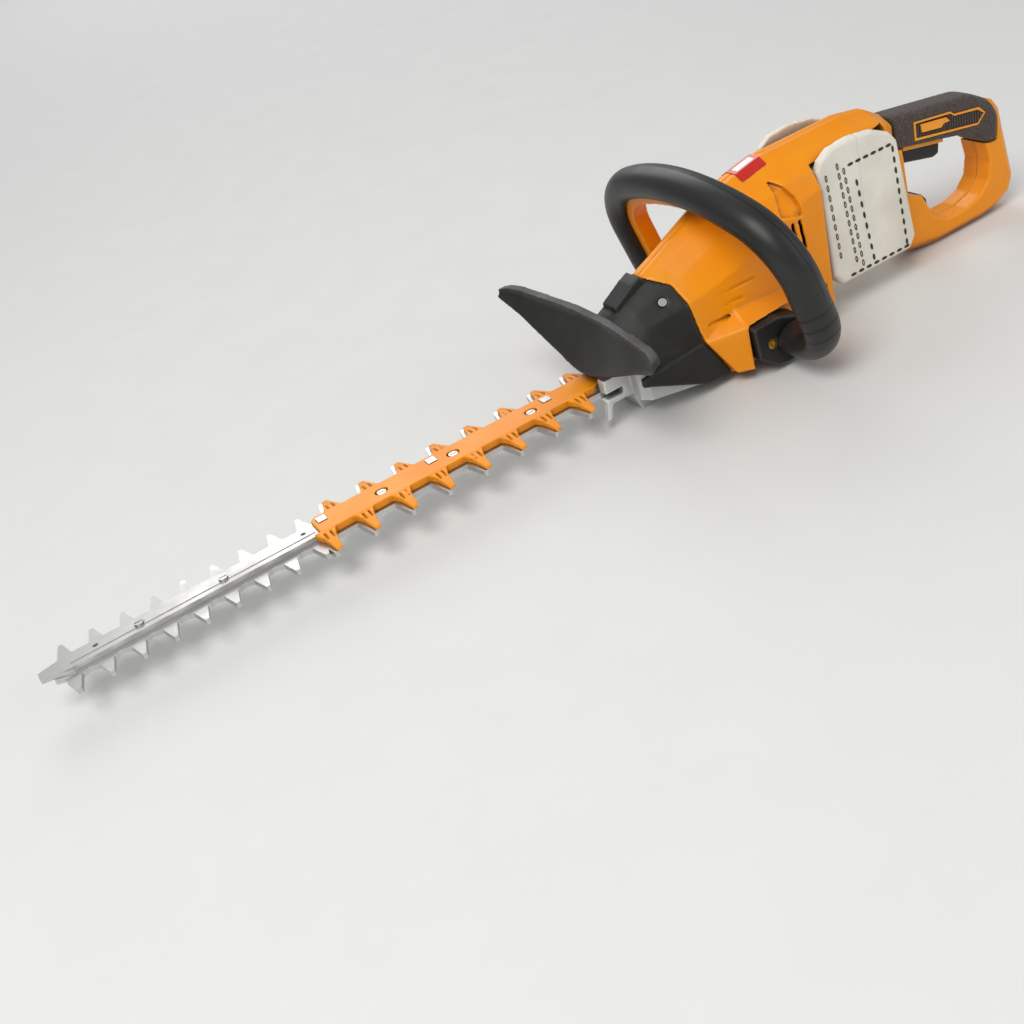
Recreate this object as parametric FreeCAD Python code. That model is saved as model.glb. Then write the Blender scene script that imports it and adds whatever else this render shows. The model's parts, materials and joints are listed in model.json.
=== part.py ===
import FreeCAD, Part
import math
import os

# Cordless two-handed hedge trimmer. +X runs forward along the blades, +Y is the
# tool's left side, +Z is up. The origin is the centre of the gear case's flat
# foot, on the plane that the tool rests on. Millimetres throughout.

V = FreeCAD.Vector
os.makedirs("parts", exist_ok=True)

# ---------------------------------------------------------------- clearances
seam = 0.4            # between a moulded shell and what it encloses
slide_gap = 0.1       # between stacked sliding blades
free_gap = 0.5        # between a moving piece and its surroundings
bore_gap = 0.08       # radial, shaft in bearing

# ---------------------------------------------------------------- cutting deck
blade_reach = 514.0   # origin to the blade tip
blade_z = 26.8        # underside of the lower blade
blade_t = 2.2         # each blade
blade_half = 14.5     # half width of the blade body
stroke = 8.0          # each blade, each way
tooth_out = 30.4      # teeth of the front half, from the centre line
tooth_pitch = 23.2
tooth_count = 9
tooth_first = 305.4
tooth_base = 11.5
coarse_out = 34.0     # teeth of the rear half
coarse_pitch = 31.1
coarse_count = 8
coarse_near = 81.7
coarse_far = 66.0
coarse_base = 12.0
bar_half = 9.5        # guide bar half width
bar_t = 3.4
bar_tail = 20.0       # guide bar's rear end, inside the gear case
comb_start = 57.0
comb_end = 303.0
comb_half = 12.0
comb_t = 2.6
comb_out = 34.4
comb_far_out = 31.5
comb_base = 17.0
bolt_xs = (116.4, 186.4, 248.1)
clip_xs = (99.8, 202.8, 295.8)
bolt_r = 2.5
bolt_head_r = 3.6
bolt_head_h = 1.8
clip_size = 7.5
clip_t = 1.2
bar_holes = (312.9, 376.9, 440.9, 472.9)
bar_hole_r = 2.2

blade2_z = blade_z + blade_t + slide_gap
bar_z = blade2_z + blade_t + slide_gap
comb_z = bar_z + bar_t

# ---------------------------------------------------------------- gear case
case_rear = -62.0
case_front = 38.0
case_half = 38.0
case_wall = 4.0
case_top = 46.0
case_low_rear = 4.0   # height of the underside at the rear border
case_low_front = 18.0 # and at the front corner
foot_half_len = 30.0
foot_half_wid = 16.0
arm_front = 62.0
arm_half = 22.0
arm_under = 21.0
arm_top = 43.0
lip_t = 5.0
cover_t = 3.0

# ---------------------------------------------------------------- drive
gear_x = -14.0
gear_teeth = 36
pinion_teeth = 9
gear_module = 1.2
gear_t = 6.0
pin_r = 3.0
crank_pin_gap = 1.0
yoke_rim = 5.0
motor_r = 20.0
motor_h = 38.0
shaft_r = 2.5
fan_r = 15.0
fan_t = 7.0

# ---------------------------------------------------------------- housing
body_half = 40.0
body_top = 145.5
crown_drop = 6.0      # the crown's fall towards its shoulders
body_bottom = 7.0
border_top = 2.0
border_bottom = -41.0
flare_front = -51.6   # rear end of the flares ahead of the bail's feet
bay_front = -150.0
bay_rear = -236.0
bay_roof = 133.0
roof_half = 29.0
shell = 2.6
grip_half = 17.0
loop_half = 15.0
tail = -387.0
battery_gap = 0.8
battery_half = 38.0
latch_rear = -288.0
latch_low = 24.0
latch_wall = -252.0
latch_length = 26.0
latch_travel = 3.0
battery_low = 25.0
cheek_inner = 31.6    # inner side of the pack's raised cheeks, outside the roof
cheek_top = 142.0
battery_rake = 13.0   # the pack's rear face leans back by this much at its foot
battery_drop = 28.0   # travel of the pack down its rails
contact_low = 96.0
contact_high = 108.0
contact_ys = (-9, -3, 3, 9)
dock_half = 24.0
dock_low = 70.0
dock_high = 124.0

# ---------------------------------------------------------------- bail handle
bail_half = 109.5     # centre line of the legs at the shoulders
bail_top = 156.0      # along the leaning plane
bail_foot_x = -86.0
bail_foot_z = 25.0
bail_lean = 16.0      # degrees forward
elbow_r = 32.0
bail_depth = 30.0     # along X
bail_thick = 25.0     # in the bail's plane
lever_w = 15.0
lever_out = 7.0       # stands proud of the tube's inner side
lever_in = 7.0        # hidden in the tube's channel
lever_travel = 3.0


# ================================================================ helpers
def save(shape, name):
    shape.exportStep("parts/" + name + ".step")


def block(x0, x1, y0, y1, z0, z1):
    return Part.makeBox(x1 - x0, y1 - y0, z1 - z0, V(x0, y0, z0))


def rod(x, y, z, radius, height, axis=(0, 0, 1)):
    return Part.makeCylinder(radius, height, V(x, y, z), V(*axis))


def side_prism(points, y0, y1):
    """Closed outline in the X-Z plane, pushed from y0 to y1."""
    outline = [V(x, y0, z) for x, z in points]
    face = Part.Face(Part.makePolygon(outline + outline[:1]))
    return face.extrude(V(0, y1 - y0, 0))


def plan_prism(points, z0, z1):
    """Closed outline in the X-Y plane, pushed from z0 to z1."""
    outline = [V(x, y, z0) for x, y in points]
    face = Part.Face(Part.makePolygon(outline + outline[:1]))
    return face.extrude(V(0, 0, z1 - z0))


def front_prism(points, x0, x1):
    """Closed outline in the Y-Z plane, pushed from x0 to x1."""
    outline = [V(x0, y, z) for y, z in points]
    face = Part.Face(Part.makePolygon(outline + outline[:1]))
    return face.extrude(V(x1 - x0, 0, 0))


def loft(sections):
    """Solid through closed polygons that share a point count."""
    wires = [Part.makePolygon(list(s) + [s[0]]) for s in sections]
    return Part.makeLoft(wires, True, True)


def smooth_loft(sections):
    wires = [Part.makePolygon(list(s) + [s[0]]) for s in sections]
    return Part.makeLoft(wires, True, False)


def fuse(shapes):
    result = shapes[0].multiFuse(shapes[1:]) if len(shapes) > 1 else shapes[0]
    return result.removeSplitter()


def cut(shape, tools):
    for tool in tools:
        shape = shape.cut(tool)
    return shape


def group(shapes):
    return Part.makeCompound(shapes)


def mirror_y(shape):
    return shape.mirror(V(0, 0, 0), V(0, 1, 0))


def rounded_edges(shape, radius, wanted):
    edges = [e for e in shape.Edges if wanted(e)]
    return shape.makeFillet(radius, edges)


def turned(shape, angle, at, axis):
    copy = shape.copy()
    copy.rotate(V(*at), V(*axis), angle)
    return copy


def moved(shape, x=0.0, y=0.0, z=0.0):
    copy = shape.copy()
    copy.translate(V(x, y, z))
    return copy


# ================================================================ cutting deck
def tooth(x, side, root, out, base, tip, z0, z1):
    """One pointed tooth; side is +1 on the left and -1 on the right."""
    points = [(x - base / 2, side * root), (x + base / 2, side * root),
              (x + tip / 2, side * out), (x - tip / 2, side * out)]
    return plan_prism(points, z0, z1)


def front_tooth_xs():
    return [tooth_first + tooth_pitch * i for i in range(tooth_count)]


def rear_tooth_xs(first):
    return [first + coarse_pitch * i for i in range(coarse_count)]


def yoke_window():
    reach = stroke + pin_r + crank_pin_gap
    return reach + stroke, reach


def blade(z0, shift):
    """Toothed blade with a yoke at its rear end; shift offsets its teeth."""
    z1 = z0 + blade_t
    nose = blade_reach - stroke
    body = plan_prism([(bar_tail + 12, -bar_half), (bar_tail + 12, bar_half),
                       (comb_start + 6, blade_half), (nose - 18, blade_half),
                       (nose, bar_half - 3), (nose, 3 - bar_half),
                       (nose - 18, -blade_half), (comb_start + 6, -blade_half)], z0, z1)
    solids = [body]
    root = blade_half - 1.0
    for x in rear_tooth_xs(coarse_near):
        solids.append(tooth(x + shift, 1, root, coarse_out, coarse_base, 3.0, z0, z1))
    for x in rear_tooth_xs(coarse_far):
        solids.append(tooth(x + shift, -1, root, coarse_out, coarse_base, 3.0, z0, z1))
    for x in front_tooth_xs():
        for side in (1, -1):
            solids.append(tooth(x + shift, side, root, tooth_out, tooth_base, 3.0, z0, z1))
    half_len, half_wid = yoke_window()
    rim_x = half_len + yoke_rim
    rim_y = half_wid + yoke_rim
    neck = block(gear_x + half_len, bar_tail + 14, -bar_half, bar_half, z0, z1)
    ring = block(gear_x - rim_x, gear_x + rim_x, -rim_y, rim_y, z0, z1)
    whole = fuse(solids + [neck, ring])
    scallops = []
    for x in front_tooth_xs()[:-1]:
        for side in (1, -1):
            middle = x + shift + tooth_pitch / 2
            scallops.append(rod(middle, side * (blade_half + 4.6), z0, 6.2, blade_t))
    window = block(gear_x - half_len, gear_x + half_len, -half_wid, half_wid, z0, z1)
    slots = [stadium(x, stroke + bolt_r + free_gap, bolt_r + free_gap, z0, z1) for x in bolt_xs]
    slots.append(stadium(bar_holes[1], stroke + bolt_r + free_gap, bolt_r + free_gap, z0, z1))
    slots.append(stadium(bar_holes[2], stroke + bolt_r + free_gap, bolt_r + free_gap, z0, z1))
    return cut(whole, [window] + scallops + slots)


def stadium(x, half_len, radius, z0, z1):
    straight = half_len - radius
    middle = block(x - straight, x + straight, -radius, radius, z0, z1)
    ends = [rod(x + s * straight, 0, z0, radius, z1 - z0) for s in (1, -1)]
    return fuse([middle] + ends)


def all_bolt_xs():
    return list(bolt_xs) + [bar_holes[1], bar_holes[2]]


def guide_bar():
    nose = blade_reach
    taper = 22.0
    bar = plan_prism([(bar_tail, -bar_half), (bar_tail, bar_half), (nose - taper, bar_half),
                      (nose, bar_half - 5), (nose, 5 - bar_half), (nose - taper, -bar_half)],
                     bar_z, bar_z + bar_t)
    rib_w = 1.6
    rib = block(comb_end + 2, nose - 3, bar_half - rib_w, bar_half, bar_z + bar_t, bar_z + bar_t + 0.7)
    crown = block(comb_end + 2, nose - taper, -rib_w, rib_w * 2, bar_z + bar_t, bar_z + bar_t + 0.5)
    bar = fuse([bar, rib, crown])
    holes = [rod(x, -2.0, bar_z - 1, bar_hole_r, bar_t + 3) for x in (bar_holes[0], bar_holes[3])]
    bolts = [rod(x, 0, bar_z - 1, bolt_r + bore_gap, bar_t + 3) for x in all_bolt_xs()]
    seats = [rod(x, 0, bar_z + bar_t, bolt_head_r + 0.3, 3) for x in all_bolt_xs()]
    return cut(bar, holes + bolts + seats)


def comb_tooth(x, side, out):
    """Moulded tooth that droops towards its point, with two sunk flutes."""
    root = comb_half - 2.0
    z_root = comb_z + comb_t
    z_low = bar_z + slide_gap
    half = comb_base / 2
    tip = 2.2
    tip_top = z_low + 2.6
    low = [V(x - half, side * root, z_low), V(x + half, side * root, z_low),
           V(x + half, side * root, z_root), V(x - half, side * root, z_root)]
    mid = [V(x - half * 0.55, side * (root + 9), z_low), V(x + half * 0.55, side * (root + 9), z_low),
           V(x + half * 0.55, side * (root + 9), z_root - 0.8), V(x - half * 0.55, side * (root + 9),
                                                                  z_root - 0.8)]
    point = [V(x - tip, side * out, z_low), V(x + tip, side * out, z_low),
             V(x + tip, side * out, tip_top), V(x - tip, side * out, tip_top)]
    body = fuse([loft([low, mid]), loft([mid, point])])
    flutes = []
    for offset in (-2.3, 2.3):
        flute = block(x + offset - 0.8, x + offset + 0.8, side * (root + 3.5), side * (root + 3.5) + 9.0,
                      z_root - 2.4, z_root + 1)
        if side < 0:
            flute = moved(flute, y=-9.0)
        flutes.append(flute)
    return cut(body, flutes)


def blade_comb():
    z1 = comb_z + comb_t
    plate = plan_prism([(comb_start, -comb_half + 3), (comb_start, comb_half - 3), (comb_start + 8,
                                                                                    comb_half),
                        (comb_end - 4, comb_half), (comb_end, comb_half - 3), (comb_end, 3 - comb_half),
                        (comb_end - 4, -comb_half), (comb_start + 8, -comb_half)], comb_z, z1)
    skirts = []
    for side in (1, -1):
        y = side * (bar_half + seam)
        y_out = side * comb_half
        skirts.append(block(comb_start + 8, comb_end - 4, min(y, y_out), max(y, y_out), bar_z + slide_gap,
                            z1))
    teeth = [comb_tooth(x, 1, comb_out) for x in rear_tooth_xs(coarse_near)]
    teeth += [comb_tooth(x, -1, comb_far_out) for x in rear_tooth_xs(coarse_far)]
    whole = fuse([plate] + skirts + teeth)
    bed = block(comb_start - 1, comb_end + 1, -bar_half - seam, bar_half + seam, bar_z - 1, comb_z)
    slots = [stadium(x, bolt_head_r + 1.6, bolt_head_r + 0.3, comb_z - 1, z1 + 1) for x in bolt_xs]
    seats = [block(x - clip_size / 2 - 0.2, x + clip_size / 2 + 0.2, -5 - clip_size / 2 - 0.2,
                   -5 + clip_size / 2 + 0.2, z1 - clip_t, z1 + 1) for x in clip_xs]
    return cut(whole, [bed] + slots + seats)


def comb_clips():
    z1 = comb_z + comb_t
    clips = []
    for x in clip_xs:
        clips.append(block(x - clip_size / 2, x + clip_size / 2, -5 - clip_size / 2, -5 + clip_size / 2,
                           z1 - clip_t, z1 + 0.5))
    return group(clips)


def blade_bolts():
    """Shoulder bolts that hold the blades up to the guide bar."""
    bolts = []
    for x in all_bolt_xs():
        head_z = bar_z + bar_t
        shank = rod(x, 0, blade_z - bolt_head_h, bolt_r, head_z - blade_z + bolt_head_h)
        head = rod(x, 0, head_z, bolt_head_r, bolt_head_h)
        slot = block(x - 3, x + 3, -0.5, 0.5, head_z + 1.0, head_z + bolt_head_h)
        bolts.append(fuse([shank, head]).cut(slot))
    return group(bolts)


def blade_nuts():
    """Nuts with wide flanges under the lower blade."""
    nuts = []
    for x in all_bolt_xs():
        top = blade_z - slide_gap
        ring = Part.Face(hexagon(x, 0, top - 3.4, 4.2)).extrude(V(0, 0, 2.4))
        flange = rod(x, 0, top - 1.0, 5.4, 1.0)
        nuts.append(fuse([ring, flange]).cut(rod(x, 0, top - 4, bolt_r, 5)))
    return group(nuts)


def hexagon(x, y, z, radius):
    points = [V(x + radius * math.cos(math.radians(60 * i)), y + radius * math.sin(math.radians(60 * i)), z)
              for i in range(6)]
    return Part.makePolygon(points + points[:1])


# ================================================================ gear case
def gear_case():
    """Die-cast case: rising underside, a flat foot pad, and an arm for the bar."""
    step = border_bottom + 3.0
    side = [(case_rear, body_floor()), (step, body_floor()), (step, case_low_rear),
            (case_front, case_low_front), (case_front, case_top), (case_rear, case_top)]
    outer = side_prism(side, -case_half, case_half)
    corner = 6.0
    plan = plan_prism([(case_rear, -case_half), (case_rear, case_half), (case_front - corner, case_half),
                       (case_front, case_half - corner), (case_front, corner - case_half),
                       (case_front - corner, -case_half)], -1, case_top + 1)
    outer = outer.common(plan)
    pad = side_prism([(-foot_half_len - 4, 6), (-foot_half_len, 0), (foot_half_len, 0), (foot_half_len + 6,
                                                                                         20),
                      (-foot_half_len - 4, 20)], -foot_half_wid, foot_half_wid)
    outer = fuse([outer, pad])
    arm = block(case_front - 6, arm_front, -arm_half, arm_half, arm_under, arm_top)
    lips = [side_prism([(arm_front - lip_t, arm_under), (arm_front, arm_under), (arm_front + 3,
                                                                                 arm_under - 12),
                        (arm_front - 1, arm_under - 12)], s * arm_half - (6 if s > 0 else 0),
                       s * arm_half + (0 if s > 0 else 6)) for s in (1, -1)]
    whole = fuse([outer, arm] + lips)
    half_len, half_wid = yoke_window()
    pocket_x = half_len + yoke_rim + stroke + free_gap
    pocket_y = case_half - 2 * case_wall
    pocket = block(case_rear + case_wall, gear_x + pocket_x, -pocket_y, pocket_y,
                   blade_z - 4, case_top + 1)
    throat = block(gear_x, arm_front + 5, -throat_half(), throat_half(), blade_z - 1.0, bar_z)
    bar_seat = block(bar_tail - 1, arm_front + 5, -bar_half - bore_gap, bar_half + bore_gap,
                     bar_z - 1, bar_z + bar_t + 0.2)
    comb_seat = block(comb_start - 2, arm_front + 5, -arm_half - 1, comb_half + 1, blade_z - 1, arm_top + 1)
    mouth = block(coarse_far - coarse_base - stroke, arm_front + 5, -arm_half - 1, arm_half + 1,
                  blade_z - 1, bar_z)
    lightening = block(arm_front - 14, arm_front + 5, -arm_half + 6, arm_half - 6, arm_under - 1,
                       arm_under + 3)
    posts = [rod(x, y, case_top - 12, 1.5, 13) for x, y in cover_screw_places()]
    bearing_seat = rod(gear_x, 0, 8, 9.0 + bore_gap, blade_z - 8)
    return cut(whole, [pocket, throat, bar_seat, comb_seat, mouth, lightening, bearing_seat] + posts)


def throat_half():
    return blade_half + 1.0


def cover_screw_places():
    y = case_half - case_wall
    return [(case_rear + 12, y), (case_rear + 12, -y), (case_front - 12, y), (case_front - 12, -y)]


def gear_cover():
    """Steel plate that closes the case and carries the motor's foot."""
    right = [(case_rear + 1, case_half - 7), (case_rear + 10, case_half - 1), (case_front - 9,
                                                                               case_half - 1),
             (case_front - 1, case_half - 7)]
    outline = right + [(x, -y) for x, y in reversed(right)]
    plate = plan_prism(outline, case_top, case_top + cover_t)
    holes = [rod(x, y, case_top - 1, 1.7, cover_t + 2) for x, y in cover_screw_places()]
    holes.append(rod(gear_x, 0, case_top - 1, 3.0 + 0.6, cover_t + 2))
    holes.append(rod(motor_x(), 0, case_top - 1, pinion_outer() + 1.0, cover_t + 2))
    return cut(plate, holes)


def cover_screws():
    screws = []
    for x, y in cover_screw_places():
        shank = rod(x, y, case_top - 10, 1.5, 10 + cover_t)
        head = rod(x, y, case_top + cover_t, 3.0, 2.0)
        screws.append(fuse([shank, head]))
    return group(screws)


# ================================================================ drive
def gear_radius(teeth):
    return gear_module * teeth / 2


def pinion_outer():
    return gear_radius(pinion_teeth) + 0.8 * gear_module


def motor_x():
    return gear_x - gear_radius(gear_teeth) - gear_radius(pinion_teeth)


def gear_z():
    return bar_z + 2.0


def spur(x, teeth, z0, z1, offset):
    """Spur gear with stub teeth; offset turns it, in parts of a tooth pitch."""
    pitch_r = gear_radius(teeth)
    root_r = pitch_r - 1.0 * gear_module
    tip_r = pitch_r + 0.8 * gear_module
    pitch = 2 * math.pi / teeth
    points = []
    for i in range(teeth):
        middle = (i + offset) * pitch
        for radius, share in ((root_r, -0.24), (tip_r, -0.10), (tip_r, 0.10), (root_r, 0.24)):
            angle = middle + share * pitch
            points.append((x + radius * math.cos(angle), radius * math.sin(angle)))
    return plan_prism(points, z0, z1)


def drive_gear():
    """Gear with its hub, its shaft stubs and two crank pins at opposite sides."""
    z0 = gear_z()
    wheel = spur(gear_x, gear_teeth, z0, z0 + gear_t, 0.0)
    hub = rod(gear_x, 0, z0 + gear_t, 5.0, 1.5)
    top_stub = rod(gear_x, 0, z0 + gear_t, 3.0, case_top + cover_t + 3 - z0 - gear_t)
    pin_upper = rod(gear_x + stroke, 0, blade2_z + 0.2, pin_r, z0 - blade2_z)
    pin_lower = rod(gear_x - stroke, 0, blade_z + 0.2, pin_r, z0 - blade_z)
    return fuse([wheel, hub, top_stub, pin_upper, pin_lower])


def gear_bearing():
    """Flanged bush pressed on the cover round the gear's upper stub."""
    z0 = case_top + cover_t
    ring = rod(gear_x, 0, z0, 8.0, 5.0)
    return ring.cut(rod(gear_x, 0, z0 - 1, 3.0 + bore_gap, 7.0))


def motor_base_z():
    return case_top + cover_t


def motor():
    """Motor can with end bells; the shaft turns in its own bore."""
    z0 = motor_base_z()
    can = rod(motor_x(), 0, z0 + 2, motor_r, motor_h - 4)
    lower = rod(motor_x(), 0, z0, motor_r - 3, 2)
    upper = rod(motor_x(), 0, z0 + motor_h - 2, motor_r - 4, 2)
    whole = fuse([can, lower, upper])
    keep_out = rod(gear_x, 0, z0 - 1, 8.0 + seam, motor_h)
    vents = []
    for i in range(8):
        slot = block(motor_x() + motor_r - 3, motor_x() + motor_r + 1, -2.5, 2.5, z0 + 7, z0 + 13)
        vents.append(turned(slot, 45 * i + 22.5, (motor_x(), 0, 0), (0, 0, 1)))
    return cut(whole, [rod(motor_x(), 0, z0 - 1, shaft_r + bore_gap, motor_h + 2), keep_out] + vents)


def motor_shaft():
    """Shaft with the pinion cut on its lower end."""
    z0 = gear_z()
    pinion = spur(motor_x(), pinion_teeth, z0 - 0.5, z0 + gear_t + 0.5, 0.5)
    stem = rod(motor_x(), 0, z0 + gear_t, shaft_r, motor_base_z() + motor_h + fan_t + 2 - z0 - gear_t)
    return fuse([pinion, stem])


def cooling_fan():
    z0 = motor_base_z() + motor_h + 1.0
    disc = rod(motor_x(), 0, z0, fan_r, 1.4)
    hub = rod(motor_x(), 0, z0, 5.0, fan_t)
    vanes = []
    for i in range(9):
        vane = block(motor_x() + 4, motor_x() + fan_r - 0.5, -0.6, 0.6, z0 + 1, z0 + fan_t)
        vane = turned(vane, 18, (motor_x() + 4, 0, 0), (0, 0, 1))
        vanes.append(turned(vane, 40 * i, (motor_x(), 0, 0), (0, 0, 1)))
    return fuse([disc, hub] + vanes).cut(rod(motor_x(), 0, z0 - 1, shaft_r, fan_t + 2))


# ================================================================ housing
def body_floor():
    return body_bottom + shell + seam


def skin(inset):
    """Faceted body from nose to battery bay, its wall moved in by inset."""
    brow = body_top - crown_drop
    stations = (
        (41.0, ((5, 79), (11, 76), (17, 71), (25, 64), (35, 58), (42, 54))),
        (20.0, ((5, 89), (12, 86), (20, 80), (29, 70), (37, 60), (42, 52))),
        (-17.0, ((5, 107), (12, 102), (23, 91), (37, 76), (39.5, 52), (42, 44))),
        (-62.0, ((5, 128), (13, 123), (27, 110), (41, 87), (43, 44), (44, 30))),
        (-98.0, ((5, 140), (14, 135), (31, 123), (42, 101), (43, 42), (43.5, 28))),
        (-125.0, ((5, body_top), (16, brow), (34, 129), (42, 111), (42.5, 42), (42.5, 26))),
        (bay_front, ((5, body_top), (16, brow), (34, 130), (42, 116), (42, 42), (42, 30))),
    )
    sections = []
    for x, corners in stations:
        right = [(y - inset, z - inset) for y, z in corners]
        right.append((corners[-1][0] - inset, -5.0))
        loop = right + [(-y, z) for y, z in reversed(right)]
        sections.append([V(x, y, z) for y, z in loop])
    return loft(sections)


def border(shift):
    """Everything behind the line where nose and housing meet, in side view."""
    line = [(border_top + 6, 112), (border_top, 99), (-14, 90), (-17, 76), (-22, 42), (border_bottom, 7),
            (border_bottom, -10)]
    points = [(x - shift, z) for x, z in line] + [(bay_front - 150, -10), (bay_front - 150, 260)]
    points.append((border_top + 6 - shift, 260))
    return side_prism(points, -80, 80)


def body_envelope():
    """Side view limits of the housing's underside."""
    return side_prism([(60, body_bottom), (-90, body_bottom), (bay_front, 17), (bay_front, 160), (60,
                                                                                                  160)],
                      -80, 80)


def housing_shell():
    outer = skin(0).common(border(0)).common(body_envelope())
    inner_floor = side_prism([(60, body_bottom + shell), (-90, body_bottom + shell), (bay_front + shell,
                                                                                      17 + shell),
                              (bay_front + shell, 160), (60, 160)], -80, 80)
    inner = skin(shell).common(inner_floor)
    return outer.cut(inner)


def roof():
    """Bridge over the battery bay, from the body to the rear handle."""
    low = 106.0
    sections = []
    for x, top, wide in ((bay_front + 1, body_top, roof_half + 5), (-205.0, body_top + 0.5, roof_half + 1),
                         (-232.0, body_top - 4.0, roof_half - 5), (bay_rear - 14, 130.0, grip_half - 2)):
        right = [(wide, low), (wide, top - 0.5 * wide), (0.8 * wide, top - 0.34 * wide),
                 (0.46 * wide, top - 0.18 * wide), (0.15 * wide, top)]
        outline = right + [(-y, z) for y, z in reversed(right)]
        sections.append([V(x, y, z) for y, z in outline])
    return loft(sections)


def bay_space():
    """Room for the battery, with its gap."""
    return side_prism([(bay_front, -20), (bay_front, bay_roof - 1.5), (bay_rear + 1, bay_roof - 1.5),
                       (bay_rear + 1 - battery_rake, battery_low), (bay_rear + 1 - battery_rake, -20)],
                      -60, 60)


def loop_outline():
    return [(bay_rear, 126), (-253, 126), (-341, 112), (-367, 100), (-374, 90), (tail, 26), (tail + 5, 12),
            (-364, 3),
            (-345, 0), (-290, 0), (-262, 6), (bay_rear, 12)]


def loop_window():
    return [(-259, 102), (-322, 89), (-341, 82), (-351, 71), (-356, 50), (-353, 34), (-343, 24), (-326, 19),
            (-304, 19), (-289, 27), (-276, 52), (-262, 56)]


def offset_face(points, y, distance):
    outline = [V(x, y, z) for x, z in points]
    face = Part.Face(Part.makePolygon(outline + outline[:1]))
    return face.makeOffset2D(distance)


def loop_core():
    """Closed rear handle with a broad bevel round its outer rim."""
    bevel = 8.0
    flat = side_prism(loop_outline(), -(loop_half - 6.5), loop_half - 6.5)
    wings = []
    for side in (1, -1):
        low = Part.Wire(Part.makePolygon([V(x, side * (loop_half - 6.5), z) for x, z in loop_outline()
                                          + loop_outline()[:1]]))
        high = offset_face(loop_outline(), side * loop_half, -bevel).OuterWire
        wings.append(Part.makeLoft([low, high], True, True))
    solid = fuse([flat] + wings)
    inner = loop_half - 4 - shell
    hollow = offset_face(loop_outline(), -inner, -bevel - shell).extrude(V(0, 2 * inner, 0))
    hollow = hollow.cut(offset_face(loop_window(), -inner, shell).extrude(V(0, 2 * inner, 0)))
    hollow = hollow.cut(block(-276, -200, -30, 30, -10, 130))
    return cut(solid, [hollow, side_prism(loop_window(), -30, 30)])


def grip_sleeve_outline():
    return [(-250, 129), (-341, 114.5), (-359, 104), (-366, 88), (-364, 66), (-351.5, 68), (-340, 79.5),
            (-322, 86), (-258, 100), (-250, 101.5)]


def grip_core(gap):
    """Handle core that the overmould wraps, grown by gap."""
    outline = [(-230, 125), (-341, 110), (-356, 100.5), (-362.5, 88), (-361, 58), (-357, 58), (-356, 76),
               (-344, 87), (-328, 92), (-262, 105), (-230, 109)]
    half = loop_half - 4 + gap
    return offset_face(outline, -half, gap).extrude(V(0, 2 * half, 0)) if gap else side_prism(outline,
                                                                                              -half, half)


def grip_space():
    """Room round the handle core for the overmould."""
    outer = offset_face(grip_sleeve_outline(), -30, seam).extrude(V(0, 60, 0))
    return outer.cut(grip_core(0.0))


def trigger_well():
    return block(trigger_rear() - free_gap - 2, trigger_front() + free_gap + 1, -9.5, 9.5, 84,
                 trigger_ceiling())


def trigger_rear():
    return -305.0


def trigger_front():
    return -261.0


def trigger_ceiling():
    return 116.0


def housing_whole():
    whole = fuse([housing_shell(), roof(), loop_core()] + bosses() + scoop_backing() + foot_fairings())
    tools = [bay_space(), grip_space(), trigger_well(), case_room(), dock_window(), switch_room()]
    tools += side_recesses() + scoops() + vent_slots() + latch_pocket()
    tools += foot_sockets() + screw_bores() + handle_bores()
    return cut(whole, tools)


def scoop_outline():
    return [(-114, 133), (-121, 127), (-127, 117), (-130, 101), (-110, 107.5)]


def scoop_backing():
    """Wall behind the fin-shaped scoops, inside the shell."""
    grown = [(-109, 139), (-124, 133), (-132, 120), (-135, 96), (-105, 104)]
    left = side_prism(grown, 18, 60).common(skin(shell - 0.6)).cut(skin(2 * shell))
    return [left, mirror_y(left)]


def scoops():
    """Fin-shaped scoop high on each side."""
    left = side_prism(scoop_outline(), 18, 60).cut(skin(shell + 0.4))
    return [left, mirror_y(left)]


def foot_fairings():
    """Flares that lead the body's sides out to the bail's feet, with a ledge over each foot."""
    front = flare_front
    nose_end = [V(-18, 38, 12), V(-18, 42.2, 12), V(-18, 42.2, 42), V(-18, 38, 46)]
    foot_end = [V(front, 38, 10), V(front, 60, 10), V(front, 59, 46.6), V(front, 38, 58)]
    flare = loft([nose_end, foot_end]).common(border(0))
    ledge_near = [V(front, 38, 46.6), V(front, 59, 46.6), V(front, 43, 57)]
    ledge_far = [V(-98, 38, 46.6), V(-98, 55, 46.6), V(-98, 43, 54)]
    ledge_end = [V(-114, 38, 46.6), V(-114, 43.6, 46.6), V(-114, 43, 48)]
    left = fuse([flare, loft([ledge_near, ledge_far]), loft([ledge_far, ledge_end])])
    return [left, mirror_y(left)]


def side_recesses():
    """Long flutes sunk low on each side, above the bail's foot."""
    tools = []
    for side in (1, -1):
        for z, x0, x1 in ((72, -78, -30), (62, -64, -30), (52, -88, -30)):
            flute = block(x0, x1, 0, 3, z, z + 3.0)
            y = 41.0 if side > 0 else -44.0
            tools.append(turned(moved(flute, y=y), -2.2 * side, (x0, 0, z), (0, 0, 1)))
    return tools


def vent_slots():
    """Louvres through both sides by the motor, and a row low at the back."""
    tools = []
    for i in range(5):
        tools.append(side_prism([(-96 - 7 * i, 100), (-99 - 7 * i, 100), (-102 - 7 * i, 74), (-99 - 7 * i,
                                                                                              74)],
                                -60, 60))
    for i in range(4):
        tools.append(block(-144 + 6 * i, -141.5 + 6 * i, -60, 60, 24, 38))
    return tools


def latch_pocket():
    return [block(latch_rear - 1, latch_wall, -9.6, 9.6, latch_low - 1, latch_low + 28)]


def foot_sockets():
    """Bores for the bail's bolts."""
    return [rod(bolt_x, -60, bolt_z, 2.6, 120, (0, 1, 0)) for bolt_x, bolt_z in bail_bolt_places()]


def bail_bolt_places():
    return ((-67.0, 27.0),)


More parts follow.
